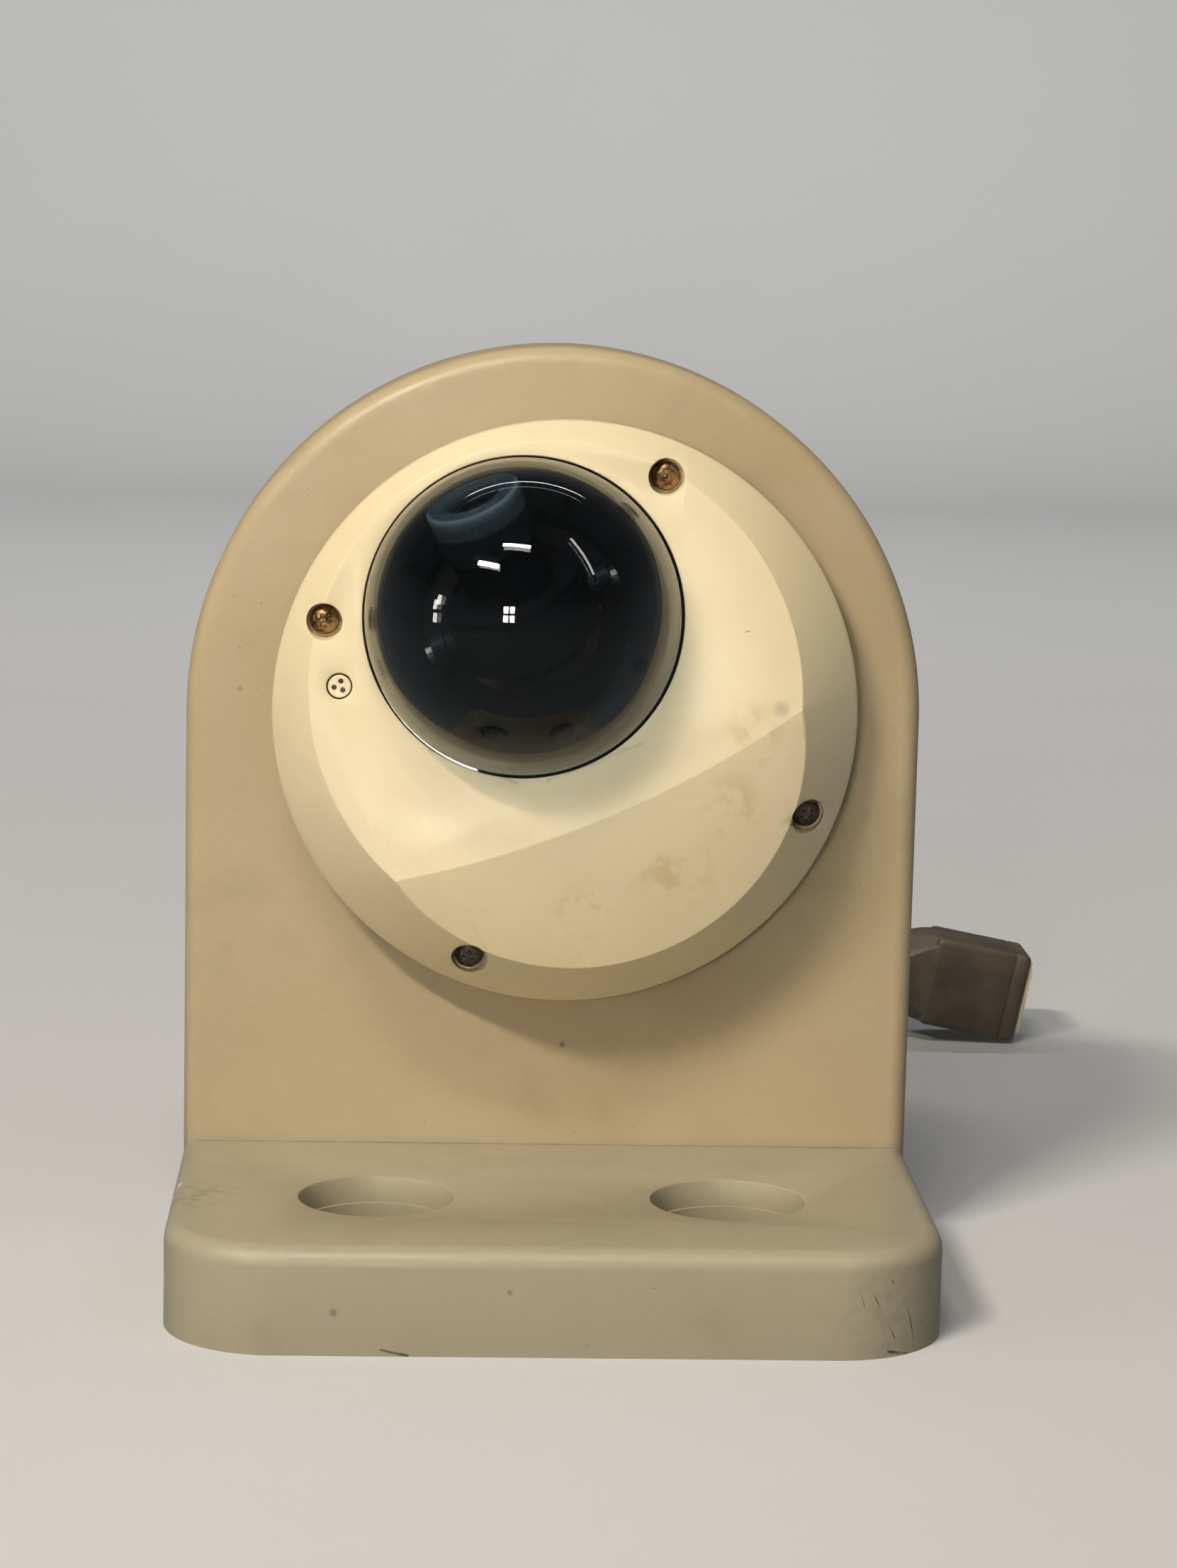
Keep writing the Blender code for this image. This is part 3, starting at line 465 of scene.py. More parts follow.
def aged_plastic(name, fresh, yellowed, grime, speck_size, speck_share, marks=(), painted_shade_below=None):
    """Old moulded plastic: uneven yellowing, faint dirt, sparse dark specks and placed marks.

    Below the given height, in millimetres, it is painted darker and greyer: painted shade where the
    light falls off towards the bottom.
    """
    shade = Shade(name)
    clouds = shade.ramp(shade.noise(70, 3.0), 0.35, 0.68)
    colour = shade.mix(clouds, fresh, yellowed)
    # painted shade: a darker, greyer colour below the given height, where the light falls off
    if painted_shade_below is not None:
        low = shade.tree.nodes.new("ShaderNodeSeparateXYZ")
        shade.tree.links.new(shade.place, low.inputs[0])
        low = shade.ramp(low.outputs["Z"], mm(painted_shade_below + 2.5), mm(painted_shade_below))
        grey = tuple(channel * share for channel, share in zip(fresh, (0.82, 0.90, 1.05)))
        colour = shade.mix(low, colour, grey)
    film = shade.both(shade.ramp(shade.noise(22, 6.0, distortion=0.6), 0.52, 0.80), 0.22)
    colour = shade.mix(film, colour, grime)
    fine = shade.ramp(shade.noise(1.6, 3.0), 0.30, 0.75)
    colour = shade.mix(shade.both(fine, 0.06), colour, grime)
    patchy = shade.ramp(shade.noise(26, 2.0), 0.45, 0.62)
    specks = shade.both(shade.ramp(shade.cells(speck_size), speck_share, speck_share * 0.45),
                        patchy, 0.75)
    dark = tuple(channel * 0.28 for channel in grime)
    colour = shade.mix(specks, colour, dark)
    rough = shade.ramp(shade.noise(12, 5.0), 0.3, 0.75, 0.36, 0.50)
    for mask, tint, amount in (mark(shade) for mark in marks):
        colour = shade.mix(shade.both(mask, amount), colour, tint)
    grain = shade.math("ADD", shade.noise(0.9, 2.0), shade.both(shade.noise(7.0, 2.0), 0.8))
    shade.set(Base_Color=colour, Roughness=rough, Specular_IOR_Level=0.45)
    return shade.bump(grain, 0.05, 0.55).material


def spot_mark(point, radius, tint, amount, squeeze=(1, 1, 1)):
    return lambda shade: (shade.spot(point, radius, squeeze=squeeze), tint, amount)


def stroke_mark(start, end, width, tint, amount, wobble=0.4):
    return lambda shade: (shade.stroke(start, end, width, wobble), tint, amount)


def smear_mark(point, radius, tint, amount, grain):
    """A smudge broken up into grains of the given size."""
    def mark(shade):
        broken = shade.ramp(shade.noise(grain, 4.0), 0.46, 0.60)
        return shade.both(shade.spot(point, radius), broken), tint, amount
    return mark


TAN = (0.42, 0.27, 0.10)
DUSK = (0.11, 0.075, 0.035)
SOOT = (0.035, 0.028, 0.020)
CHALK = (0.80, 0.76, 0.66)

COVER_MARKS = [
    smear_mark(head_point(8, -37), 11, TAN, 0.42, 6),
    smear_mark(head_point(24, -28), 9, TAN, 0.36, 5),
    smear_mark(head_point(-12, -36), 8, TAN, 0.40, 4),
    smear_mark(head_point(33, -16), 8, TAN, 0.34, 5),
    spot_mark(head_point(-17, -33.5), 3.2, TAN, 0.45),
    spot_mark(head_point(40, -13.5), 2.2, DUSK, 0.30),
    smear_mark(head_point(36, -38), 7, DUSK, 0.75, 2.2),
    spot_mark(head_point(-9.8, -41.5), 1.3, DUSK, 0.55),
    stroke_mark(head_point(11.5, -42.8), head_point(13.0, -45.2), 0.22, DUSK, 0.65),
    stroke_mark(head_point(10.5, -44.6), head_point(12.4, -45.4), 0.16, DUSK, 0.55),
    stroke_mark(head_point(39.4, 3.2), head_point(40.2, 3.0), 0.25, DUSK, 0.7),
    spot_mark(head_point(26.5, 20.5), 2.0, TAN, 0.30),
    spot_mark(head_point(27.6, 18.4), 1.2, DUSK, 0.25),
    stroke_mark(head_point(-27, 6.0), head_point(-14, -6.5), 0.7, DUSK, 0.30, 1.6),
    stroke_mark(head_point(-8, -8.6), head_point(12, -9.0), 0.6, DUSK, 0.22, 1.4),
]


def corner(angle, height, side=1):
    """A point on the round front corner of the foot."""
    turn = math.radians(angle)
    return mm(side * (HALF_W - FOOT_CORNER + FOOT_CORNER * math.cos(turn)),
              FOOT_FRONT + FOOT_CORNER - FOOT_CORNER * math.sin(turn), height)


BRACKET_MARKS = [
    stroke_mark(corner(63, 15.0), corner(40, 5.0), 0.16, SOOT, 0.85, 0.4),
    stroke_mark(corner(73, 12.5), corner(60, 3.5), 0.18, SOOT, 0.85, 0.5),
    stroke_mark(corner(52, 9.0), corner(47, 2.5), 0.14, SOOT, 0.70, 0.4),
    stroke_mark(corner(81, 14.0), corner(78, 10.5), 0.14, SOOT, 0.60, 0.3),
    stroke_mark(mm(-33, FOOT_FRONT, 1.3), mm(-28, FOOT_FRONT, 0.2), 0.45, SOOT, 0.9, 0.7),
    stroke_mark(corner(64, 1.2), corner(52, 0.2), 0.45, SOOT, 0.9, 0.8),
    stroke_mark(mm(-74.3, -6, 19.2), mm(-73.5, -2, 20.0), 0.55, CHALK, 0.95, 0.9),
    stroke_mark(mm(-74.6, -11, 18.6), mm(-74.2, -9, 19.3), 0.35, CHALK, 0.95, 0.7),
    stroke_mark(corner(12, 10.5, -1), corner(9, 7.5, -1), 0.45, CHALK, 0.9, 0.7),
    spot_mark(mm(-42, FOOT_FRONT, 8.4), 1.1, DUSK, 0.6),
    spot_mark(mm(-9, FOOT_FRONT, 12.6), 0.8, DUSK, 0.5),
    spot_mark(mm(3, PLATE_FRONT, 42.0), 1.0, DUSK, 0.7),
    spot_mark(mm(-64, PLATE_FRONT, 115.0), 0.8, DUSK, 0.4),
    smear_mark(mm(62, FOOT_FRONT + 1, 9), 12, DUSK, 0.13, 3.0),
    # painted shade: a thin dark line along the crease where the foot's top meets the plate
    stroke_mark(mm(-75, PLATE_FRONT, FOOT_H), mm(75, PLATE_FRONT, FOOT_H), 0.25, DUSK, 0.60, 0.3),
    smear_mark(mm(-70, -14, 18), 12, DUSK, 0.28, 3.0),
    smear_mark(mm(-56, PLATE_FRONT + 4, 166), 10, DUSK, 0.30, 3.0),
]

# ---- materials --------------------------------------------------------------------------------
CREAM, CREAM_OLD, CREAM_GRIME = (0.690, 0.590, 0.378), (0.668, 0.560, 0.340), (0.48, 0.38, 0.23)

# the bracket's colour is darker and greyer below the foot's top: painted shade for the light
# falling off towards the bottom
SHELL = aged_plastic("aged_beige_shell", (0.425, 0.338, 0.200), (0.385, 0.295, 0.162),
                     (0.24, 0.18, 0.10), 3.6, 0.055, BRACKET_MARKS, painted_shade_below=FOOT_H)
COVER = aged_plastic("yellowed_cream_cover", CREAM, CREAM_OLD, CREAM_GRIME, 4.4, 0.040,
                     COVER_MARKS)
# the bottoms of the microphone disc's three blind holes are painted near black: painted shade for
# the holes' depth
MIC_DISC = aged_plastic("microphone_disc", CREAM, CREAM_OLD, CREAM_GRIME, 4.4, 0.040, [
    spot_mark(PAN @ mm(MIC[0] + x, MIC[1] + y, -1.6), 1.1, (0.006, 0.005, 0.004), 1.0)
    for x, y, angle in around(3, MIC_HOLE_RING, MIC_FIRST)])


def smoked_window():
    """Clear smoked polycarbonate with faint dust and wipe marks, which lets lamps through."""
    shade = Shade("smoked_polycarbonate")
    dust = shade.ramp(shade.noise(2.2, 6.0, distortion=1.0), 0.55, 0.80)
    wipes = shade.ramp(shade.noise(14, 4.0, stretch=(1, 1, 4)), 0.50, 0.85)
    haze = shade.both(dust, wipes)
    shade.set(Base_Color=shade.mix(haze, (0.120, 0.140, 0.155), (0.22, 0.23, 0.22)),
              Roughness=shade.ramp(haze, 0.0, 1.0, 0.010, 0.07),
              Transmission_Weight=1.0, IOR=1.42)
    clear = shade.tree.nodes.new("ShaderNodeBsdfTransparent")
    clear.inputs["Color"].default_value = (0.60, 0.63, 0.65, 1)
    path = shade.tree.nodes.new("ShaderNodeLightPath")
    blend = shade.tree.nodes.new("ShaderNodeMixShader")
    links = shade.tree.links
    links.new(path.outputs["Is Shadow Ray"], blend.inputs[0])
    links.new(shade.shader.outputs[0], blend.inputs[1])
    links.new(clear.outputs[0], blend.inputs[2])
    links.new(blend.outputs[0], shade.output.inputs["Surface"])
    return shade.material


def worn(name, colour, other, roughness, metallic=0.0, size=3.0, depth=0.03, spread=0.12,
         share=(0.45, 0.75), specular=0.5):
    """A plain surface with patches of a second tone, uneven gloss and a fine grain."""
    shade = Shade(name)
    patches = shade.ramp(shade.noise(size, 5.0), *share)
    rough = shade.ramp(shade.noise(size * 0.6, 4.0), 0.3, 0.75, max(0.02, roughness - spread),
                       roughness + spread)
    shade.set(Base_Color=shade.mix(patches, colour, other), Roughness=rough, Metallic=metallic,
              Specular_IOR_Level=specular)
    return shade.bump(shade.noise(size * 0.12, 3.0), depth, 0.5).material


SMOKE = smoked_window()
BLACK = worn("fine_black_plastic", (0.020, 0.022, 0.025), (0.032, 0.034, 0.036), 0.42, size=2.0)
LINER = worn("liner_black_plastic", (0.012, 0.016, 0.018), (0.020, 0.024, 0.026), 0.50, size=4.0)
RUBBER = worn("dusty_rubber", (0.030, 0.029, 0.028), (0.060, 0.056, 0.050), 0.70, size=4.0,
              depth=0.08)
STEEL = worn("zinc_steel", (0.58, 0.57, 0.54), (0.40, 0.38, 0.34), 0.34, 1.0, size=2.0)
TARNISH = worn("tarnished_screw", (0.34, 0.215, 0.105), (0.10, 0.055, 0.022), 0.38, 1.0, size=1.4,
               depth=0.05, share=(0.42, 0.62))
GRIMED = worn("grimed_screw", (0.12, 0.095, 0.070), (0.030, 0.022, 0.015), 0.50, 0.8, size=1.2,
              depth=0.06)
BOARD = worn("green_solder_mask", (0.020, 0.150, 0.060), (0.014, 0.105, 0.045), 0.32, size=1.6)
ALU = worn("cast_aluminium", (0.62, 0.62, 0.61), (0.48, 0.48, 0.47), 0.38, 1.0, size=2.0)
IVORY = worn("yellowed_ivory_plastic", (0.74, 0.64, 0.42), (0.50, 0.39, 0.22), 0.40, size=4.0)
GOLD = worn("plated_contacts", (0.82, 0.60, 0.26), (0.66, 0.46, 0.18), 0.26, 1.0, size=1.0)
OPTIC = worn("coated_optic", (0.030, 0.040, 0.075), (0.045, 0.035, 0.080), 0.06, size=6.0,
             depth=0.0, spread=0.02, specular=0.9)


RIM_FROM = 22.4            # along the lens: where the pale rim starts, and its outer edge
RIM_EDGE = 26.6
RIM_EDGE_R = 9.15


def lens_module():
    """Blue-grey rim round the lens, black behind it, and a painted highlight along the rim's front
    outer edge.
    """
    shade = Shade("lens_module_plastic")
    away = shade.vector("SUBTRACT", shade.place, tuple(DOME_CENTRE))
    along = shade.vector("DOT_PRODUCT", away, tuple(LENS_AXIS))
    rim = shade.ramp(along, mm(RIM_FROM), mm(RIM_FROM + 1.0), 0.12, 1.0)
    pale = shade.mix(shade.ramp(shade.noise(2.5, 4.0), 0.4, 0.7), (0.235, 0.300, 0.325),
                     (0.175, 0.232, 0.256))
    colour = shade.mix(rim, (0.020, 0.024, 0.028), pale)
    out = shade.vector("SUBTRACT", away, tuple(LENS_AXIS * mm(RIM_EDGE)))
    gap = shade.math("SUBTRACT", shade.vector("LENGTH", out), mm(RIM_EDGE_R))
    # painted highlight: a thin near-white line along the bezel's front outer edge
    edge = shade.ramp(shade.math("ABSOLUTE", gap), mm(0.5), mm(0.15))
    shade.set(Base_Color=shade.mix(shade.both(edge, rim, 0.8), colour, (0.85, 0.92, 0.95)),
              Roughness=shade.ramp(shade.noise(1.5, 4.0), 0.3, 0.75, 0.24, 0.40))
    return shade.bump(shade.noise(0.3, 3.0), 0.01, 0.5).material


MODULE = lens_module()


def grimy_connector():
    """Taupe plastic rubbed with dark grime, heavier towards the tail and in streaks."""
    shade = Shade("grimy_taupe_plastic")
    colour = shade.mix(shade.ramp(shade.noise(9, 3.0), 0.35, 0.70), (0.090, 0.069, 0.043),
                       (0.060, 0.046, 0.029))
    for middle, radius, amount in ((-30, 16, 0.80), (-14, 11, 0.62), (-20, 18, 0.45)):
        smudge = shade.spot(CONNECTOR_FRAME @ mm(4, -3, middle), radius)
        broken = shade.ramp(shade.noise(3.2, 6.0, distortion=0.8), 0.40, 0.62)
        colour = shade.mix(shade.both(smudge, broken, amount), colour, SOOT)
    flecks = shade.ramp(shade.cells(1.7), 0.16, 0.05)
    colour = shade.mix(shade.both(flecks, 0.5), colour, SOOT)
    rough = shade.ramp(shade.noise(4, 4.0), 0.3, 0.7, 0.42, 0.66)
    shade.set(Base_Color=colour, Roughness=rough)
    return shade.bump(shade.noise(0.8, 4.0), 0.08, 0.7).material


NOSE = mm(128.7, 227.0, 11.7)
CONNECTOR_TILT = math.radians(11.0)
CONNECTOR_FRAME = (Matrix.Translation(NOSE)
                   @ Matrix.Rotation(math.radians(90), 4, "Z")
                   @ Matrix.Rotation(math.radians(90) + CONNECTOR_TILT, 4, "X"))
TAUPE = grimy_connector()

# ---- cord: free lead, its grommet and its connector --------------------------------------------
CORD_ROUTE = [
    (0, 59.1, CORD_EXIT_Z), (0, 69, CORD_EXIT_Z), (0.5, 79, 38), (2, 90, 32), (4, 101, 23),
    (7, 113, 13), (11, 126, 5.6), (16, 140, 3.0), (22, 155, 2.8), (29, 170, 2.8), (36, 184, 3.4),
    (43, 197, 6.5), (50, 209, 12.5), (58, 219, 19), (69, 225.5, 22.2), (81.3, 227, 20.9)]


def smooth_route(route, spacing):
    """Points about one spacing apart on a Catmull-Rom curve through the route."""
    ends = [Vector(route[0]) * 2 - Vector(route[1]), Vector(route[-1]) * 2 - Vector(route[-2])]
    knots = [ends[0]] + [Vector(point) for point in route] + [ends[1]]
    points = []
    for before, start, end, after in zip(knots, knots[1:], knots[2:], knots[3:]):
        steps = max(1, round((end - start).length / spacing))
        for index in range(steps):
            t = index / steps
            points.append(0.5 * (2 * start + (end - before) * t
                                 + (2 * before - 5 * start + 4 * end - after) * t ** 2
                                 + (3 * start - before - 3 * end + after) * t ** 3))
    points.append(knots[-2])
    return points


def make_cord():
    points = smooth_route(CORD_ROUTE, 2.5)
    curve = bpy.data.curves.new("network_lead", "CURVE")
    curve.dimensions = "3D"
    curve.bevel_depth = mm(CABLE_R)
    curve.bevel_resolution = 6
    curve.use_fill_caps = True
    spline = curve.splines.new("POLY")
    spline.points.add(len(points) - 1)
    spline.use_smooth = True
    for knot, point in zip(spline.points, points):
        knot.co = (*mm(*point), 1)
    curve.materials.append(RUBBER)
    lead = bpy.data.objects.new("network_lead", curve)
    bpy.context.scene.collection.objects.link(lead)
    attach(lead, "housing")
    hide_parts("network_cable")
    length = sum((b - a).length for a, b in zip(points, points[1:]))
    return lead, mm(length)


def make_connector():
    """The lead's network socket: a chamfered body, a ribbed tail and the insert in its mouth."""
    wide, high, long = CONNECTOR
    taper, relief = 9.0, 14.0
    body = soften(block((wide, high, long), (0, 0, -long / 2), CONNECTOR_FRAME), 1.6, 5)
    cone = drum(9.5, -long - taper, -long + 2, 64, 13.4, CONNECTOR_FRAME)
    keep = block((wide - 0.6, high - 0.6, 40), (0, 0, -30), CONNECTOR_FRAME)
    cone = boolean(cone, [keep], "INTERSECT")
    back = -long - taper
    tail = drum(4.2, back - relief, back + 1, 64, 6.5, CONNECTOR_FRAME)
    ribs = [turned([(7.5, back - 2.2 - step * 3.6), (7.5, back - 3.6 - step * 3.6),
                    (5.2 - step * 0.45, back - 3.6 - step * 3.6),
                    (5.2 - step * 0.45, back - 2.2 - step * 3.6)], 64, CONNECTOR_FRAME)
            for step in range(3)]
    tail = boolean(tail, ribs)
    body = boolean(body, [cone, tail], "UNION")
    groove = block((wide + 2, high + 2, 0.5), (0, 0, -4.2), CONNECTOR_FRAME)
    groove = boolean(groove, [block((wide - 0.7, high - 0.7, 2), (0, 0, -4.2), CONNECTOR_FRAME)])
    pocket = block((16.1, 19.1, 30), (0, 0, 0), CONNECTOR_FRAME)
    body = soften(boolean(body, [groove, pocket]), 0.16, 2, 35, 0.04)
    finish_piece(body, "lead_connector", TAUPE, "housing", "connector_shell", "connector_body")

    insert = block((15.5, 18.5, 15.8), (0, 0, -6.8), CONNECTOR_FRAME)
    insert = boolean(insert, [block((6.8, 11.8, 24), (0.8, 0, 0), CONNECTOR_FRAME),
                              block((3.0, 6.0, 24), (-4.0, 0, 0), CONNECTOR_FRAME)])
    insert = soften(insert, 0.25, 2, 50)
    finish_piece(insert, "socket_insert", IVORY, "housing", "jack_plastic", "jack_insert")
    return body, insert


grommet_frame = axes_matrix(Vector((1, 0, 0)), Vector((0, 0, -1)), Vector((0, 1, 0)),
                            mm(0, PLATE_BACK, CORD_EXIT_Z))
grommet = turned([(0, 8.0), (3.6, 8.0), (4.1, 7.6), (5.0, 6.0), (4.7, 5.6), (4.7, 5.0),
                  (5.6, 4.8), (6.1, 3.7), (5.8, 3.3), (5.8, 2.7), (6.9, 2.5), (7.6, 1.6),
                  (7.8, 0.9), (7.8, 0.3), (5.8, 0.3), (5.8, -3.0), (7.2, -3.0), (7.2, -4.6),
                  (0, -4.6)], 96, grommet_frame)
finish_piece(grommet, "lead_grommet", RUBBER, "housing", "rubber", "cable_grommet")

lead, LEAD_LENGTH = make_cord()
connector, socket_insert = make_connector()

# ---- bracket ----------------------------------------------------------------------------------
WALL = 3.5
CAVITY_FLOOR = 8.0
FLOOR_PLATE_T = 3.0
FLOOR_SCREWS = [(0, -32), (0, 8)]
BURIED = 12.0              # how far the raw shapes run below the floor before they are cut off
BOSS_R = 18.6
POST_R = 4.0
PANEL_SCREWS = [(-HALF_W + 13, 18), (HALF_W - 13, 18), (-50, ARCH_Z + 36), (50, ARCH_Z + 36)]


def arch_outline(inset, bottom, steps=128):
    half = HALF_W - inset
    return [(-half, bottom), (half, bottom)] + list(arc(0, ARCH_Z, half, 0, 180, steps))


def foot_outline(inset, back, steps=20):
    half = HALF_W - inset
    front = FOOT_FRONT + inset
    radius = FOOT_CORNER - inset
    return ([(half, back), (-half, back)]
            + list(arc(-half + radius, front + radius, radius, 180, 270, steps))
            + list(arc(half - radius, front + radius, radius, 270, 360, steps)))


def make_bracket():
    """Arched plate and foot in one hollow moulding, closed by a panel at the back."""
    body = slab(arch_outline(0, -BURIED), -PLATE_BACK, -PLATE_FRONT, UPRIGHT)
    body = soften(body, EDGE_R, 6, 40)
    foot = soften(slab(foot_outline(0, PLATE_FRONT + 12), -BURIED, FOOT_H), EDGE_R, 6, 40)
    hollow = slab(arch_outline(WALL + 4, CAVITY_FLOOR, 48), -PLATE_BACK - 5, -PLATE_FRONT - WALL,
                  UPRIGHT)
    recess = slab(arch_outline(PANEL_INSET, CAVITY_FLOOR - 4), -PLATE_BACK - 5,
                  -PLATE_BACK + PANEL_T + 0.3, UPRIGHT)
    under = slab(foot_outline(WALL + 0.5, PLATE_FRONT - WALL), -5, FOOT_H - 4)
    kept = [block((3, 120, 40), (0, 0, FLOOR_PLATE_T + 20.3))]
    kept += [drum(BOSS_R, FLOOR_PLATE_T + 0.3, FOOT_H + 5, 64, at=(side * BORE_X, BORE_Y, 0))
             for side in (-1, 1)]
    kept += [drum(4.2, FLOOR_PLATE_T + 0.3, FOOT_H + 5, 32, at=(x, y, 0)) for x, y in FLOOR_SCREWS]
    under = boolean(under, kept)
    body = boolean(body, [foot], "UNION")
    cutters = [block((200, 160, 40), (0, 0, -20)), hollow, recess, under]
    cutters += [drum(1.6, -5, 13, 24, at=(x, y, 0)) for x, y in FLOOR_SCREWS]
    for side in (-1, 1):
        at = (side * BORE_X, BORE_Y)
        bore = [(0, FOOT_H + 4), (BORE_R + 0.9, FOOT_H + 4), (BORE_R + 0.9, FOOT_H + 0.2),
                (BORE_R + 0.75, FOOT_H), (BORE_R + 0.22, FOOT_H - 0.25), (BORE_R, FOOT_H - 0.8),
                (BORE_R, FOOT_H - LIP_DEPTH), (BORE_R - 0.6, FOOT_H - LIP_DEPTH - 0.05),
                (BORE_R - 0.6, FOOT_H - BORE_DEPTH + 0.5),
                (BORE_R - 1.1, FOOT_H - BORE_DEPTH), (0, FOOT_H - BORE_DEPTH)]
        cutters.append(turned(bore, 128, at=(*at, 0)))
        cutters.append(drum(3.5, -5, FOOT_H, 48, at=(*at, 0)))
    cutters.append(drum(9, -8, 5, 48, matrix=HEAD, at=(0, GLAND_V, 0)))
    cutters += [drum(SCREW_HOLE_R, -8, 5, 24, matrix=HEAD, at=(x, y, 0))
                for x, y, angle in around(3, MOUNT_RING, 270)]
    body = boolean(body, cutters)
    turn = Matrix.Rotation(math.radians(90), 4, "X")
    post_base = -PLATE_BACK + PANEL_T + 0.7
    posts = [drum(POST_R, post_base, -PLATE_FRONT - WALL + 1, 40,
                  matrix=Matrix.Translation(mm(x, 0, z)) @ turn) for x, z in PANEL_SCREWS]
    body = boolean(body, posts, "UNION")
    body = boolean(body, [drum(1.6, post_base - 2, post_base + 12, 24,
                               matrix=Matrix.Translation(mm(x, 0, z)) @ turn)
                          for x, z in PANEL_SCREWS])
    weld(body, 0.02)
    finish_piece(body, "bracket_shell", SHELL, "housing", "bracket_shell", "bracket_body", angle=32)

    panel = slab(arch_outline(PANEL_INSET + 0.3, CAVITY_FLOOR - 3.7), -PLATE_BACK,
                 -PLATE_BACK + PANEL_T, UPRIGHT)
    panel = soften(panel, 0.5, 3, 50)
    holes = [drum(6.2, -5, 5, 64, matrix=Matrix.Translation(mm(0, PLATE_BACK, CORD_EXIT_Z)) @ turn)]
    for x, z in PANEL_SCREWS:
        place = Matrix.Translation(mm(x, 0, z)) @ turn
        holes.append(drum(1.9, -PLATE_BACK - 10, -PLATE_BACK + 10, 32, matrix=place))
        holes.append(drum(3.6, -PLATE_BACK - 1, -PLATE_BACK + 1.9, 48, matrix=place))
    panel = boolean(panel, holes)
    finish_piece(panel, "bracket_back_panel", SHELL, "housing", "bracket_shell",
                 "bracket_rear_cover", angle=32)


make_bracket()

# ---- camera base and cover --------------------------------------------------------------------
BASE_R, BASE_WALL, BASE_FLOOR, BASE_TOP = 55.0, 3.6, 3.3, 7.0
BOARD_SCREWS = [(-34, -14), (24, -36), (-6, -42)]


def make_base():
    base = turned([(0, 0.3), (BASE_R - 0.4, 0.3), (BASE_R, 0.7), (BASE_R, BASE_TOP),
                   (BASE_R - BASE_WALL, BASE_TOP), (BASE_R - BASE_WALL, BASE_FLOOR),
                   (0, BASE_FLOOR)], 192, HEAD)
    posts = [drum(2.8, BASE_FLOOR - 1, BASE_TOP - 0.01, 40, matrix=HEAD, at=(x, y, 0))
             for x, y, angle in around(4, SCREW_RING, SCREW_FIRST)]
    posts += [drum(2.4, BASE_FLOOR - 1, 5.3, 32, matrix=HEAD, at=(x, y, 0))
              for x, y in BOARD_SCREWS]
    base = boolean(base, posts, "UNION")
    holes = [drum(7.0, -2, 8, 48, matrix=HEAD, at=(0, GLAND_V, 0))]
    holes += [drum(SCREW_HOLE_R, BASE_FLOOR, 12, 24, matrix=HEAD, at=(x, y, 0))
              for x, y, angle in around(4, SCREW_RING, SCREW_FIRST)]
    holes += [drum(1.1, BASE_FLOOR - 1, 12, 20, matrix=HEAD, at=(x, y, 0)) for x, y in BOARD_SCREWS]
    holes += [drum(SCREW_HOLE_R, -2, 8, 24, matrix=HEAD, at=(x, y, 0))
              for x, y, angle in around(3, MOUNT_RING, 270)]
    finish_piece(boolean(base, holes), "camera_base_shell", COVER, "housing", "cover_shell",
                 "camera_base")


def cover_form(drop, low, sides=256):
    """The cover's outer form, or with a drop the hollow inside it: a cone under two facets."""
    radius = RIM_R - drop
    high = 27.0
    profile = [(0, high), (radius - (high - RIM_W) * CHAMFER, high)]
    if drop:
        profile += [(radius, RIM_W)]
    else:
        profile += [(radius - 1.0 * CHAMFER, RIM_W + 1.0), (radius - 0.28, RIM_W + 0.40),
                    (radius - 0.05, RIM_W - 0.05), (radius, RIM_W - 0.6)]
    form = turned(profile + [(radius, low), (0, low)], sides, HEAD)
    tilt = Matrix.Rotation(-math.atan(FACE_SLOPE), 4, "X")
    upper = block((160, 200, 40), (0, 0, 20),
                  HEAD @ Matrix.Translation(mm(0, 0, face_height(0) - drop)) @ tilt)
    fall = math.atan(LOWER_SLOPE)
    reach, steps = 70.0, 90
    outline = [(-reach, 60), (reach, 60)]
    for index in range(steps + 1):
        u = reach - 2 * reach * index / steps
        v = ridge_v(u)
        outline.append((u, (face_height(v) - drop - LOWER_SLOPE * v) * math.cos(fall)))
    lower = slab(outline, -150, 150, HEAD @ Matrix.Rotation(math.radians(90) + fall, 4, "X"))
    return boolean(form, [upper, lower])


def make_cover():
    """The cover's shell; every cut comes before the edges are rounded."""
    outer = cover_form(0, SKIRT_LOW)
    cavity = cover_form(COVER_T, SKIRT_LOW - 4, 128)
    cavity = boolean(cavity, [drum(4.9, BASE_TOP + 0.5, 40, 40, matrix=HEAD, at=(x, y, 0))
                              for x, y, angle in around(4, SCREW_RING, SCREW_FIRST)])
    cutters = [cavity, drum(DOME_R + 0.5, -12, 30, 160, matrix=PAN),
               drum(2.6, -12, 10, 48, matrix=PAN, at=MIC + (0,))]
    for x, y, angle in around(4, SCREW_RING, SCREW_FIRST):
        cutters.append(drum(SCREW_WELL_R, HEAD_SEAT_W, 40, 64, matrix=HEAD, at=(x, y, 0)))
        cutters.append(drum(SCREW_HOLE_R, 0, 40, 24, matrix=HEAD, at=(x, y, 0)))
    for angle in (0, 180, 270):
        x = DOME_SCREW_RING * math.cos(math.radians(angle))
        y = DOME_SCREW_RING * math.sin(math.radians(angle))
        cutters.append(drum(1.0, -8, -1.0, 20, matrix=PAN, at=(x, y, 0)))
    shell = soften(boolean(outer, cutters), 0.22, 2, 18, 0.05)
    finish_piece(shell, "top_cover_shell", COVER, "housing", "cover_shell", "top_cover", angle=40)


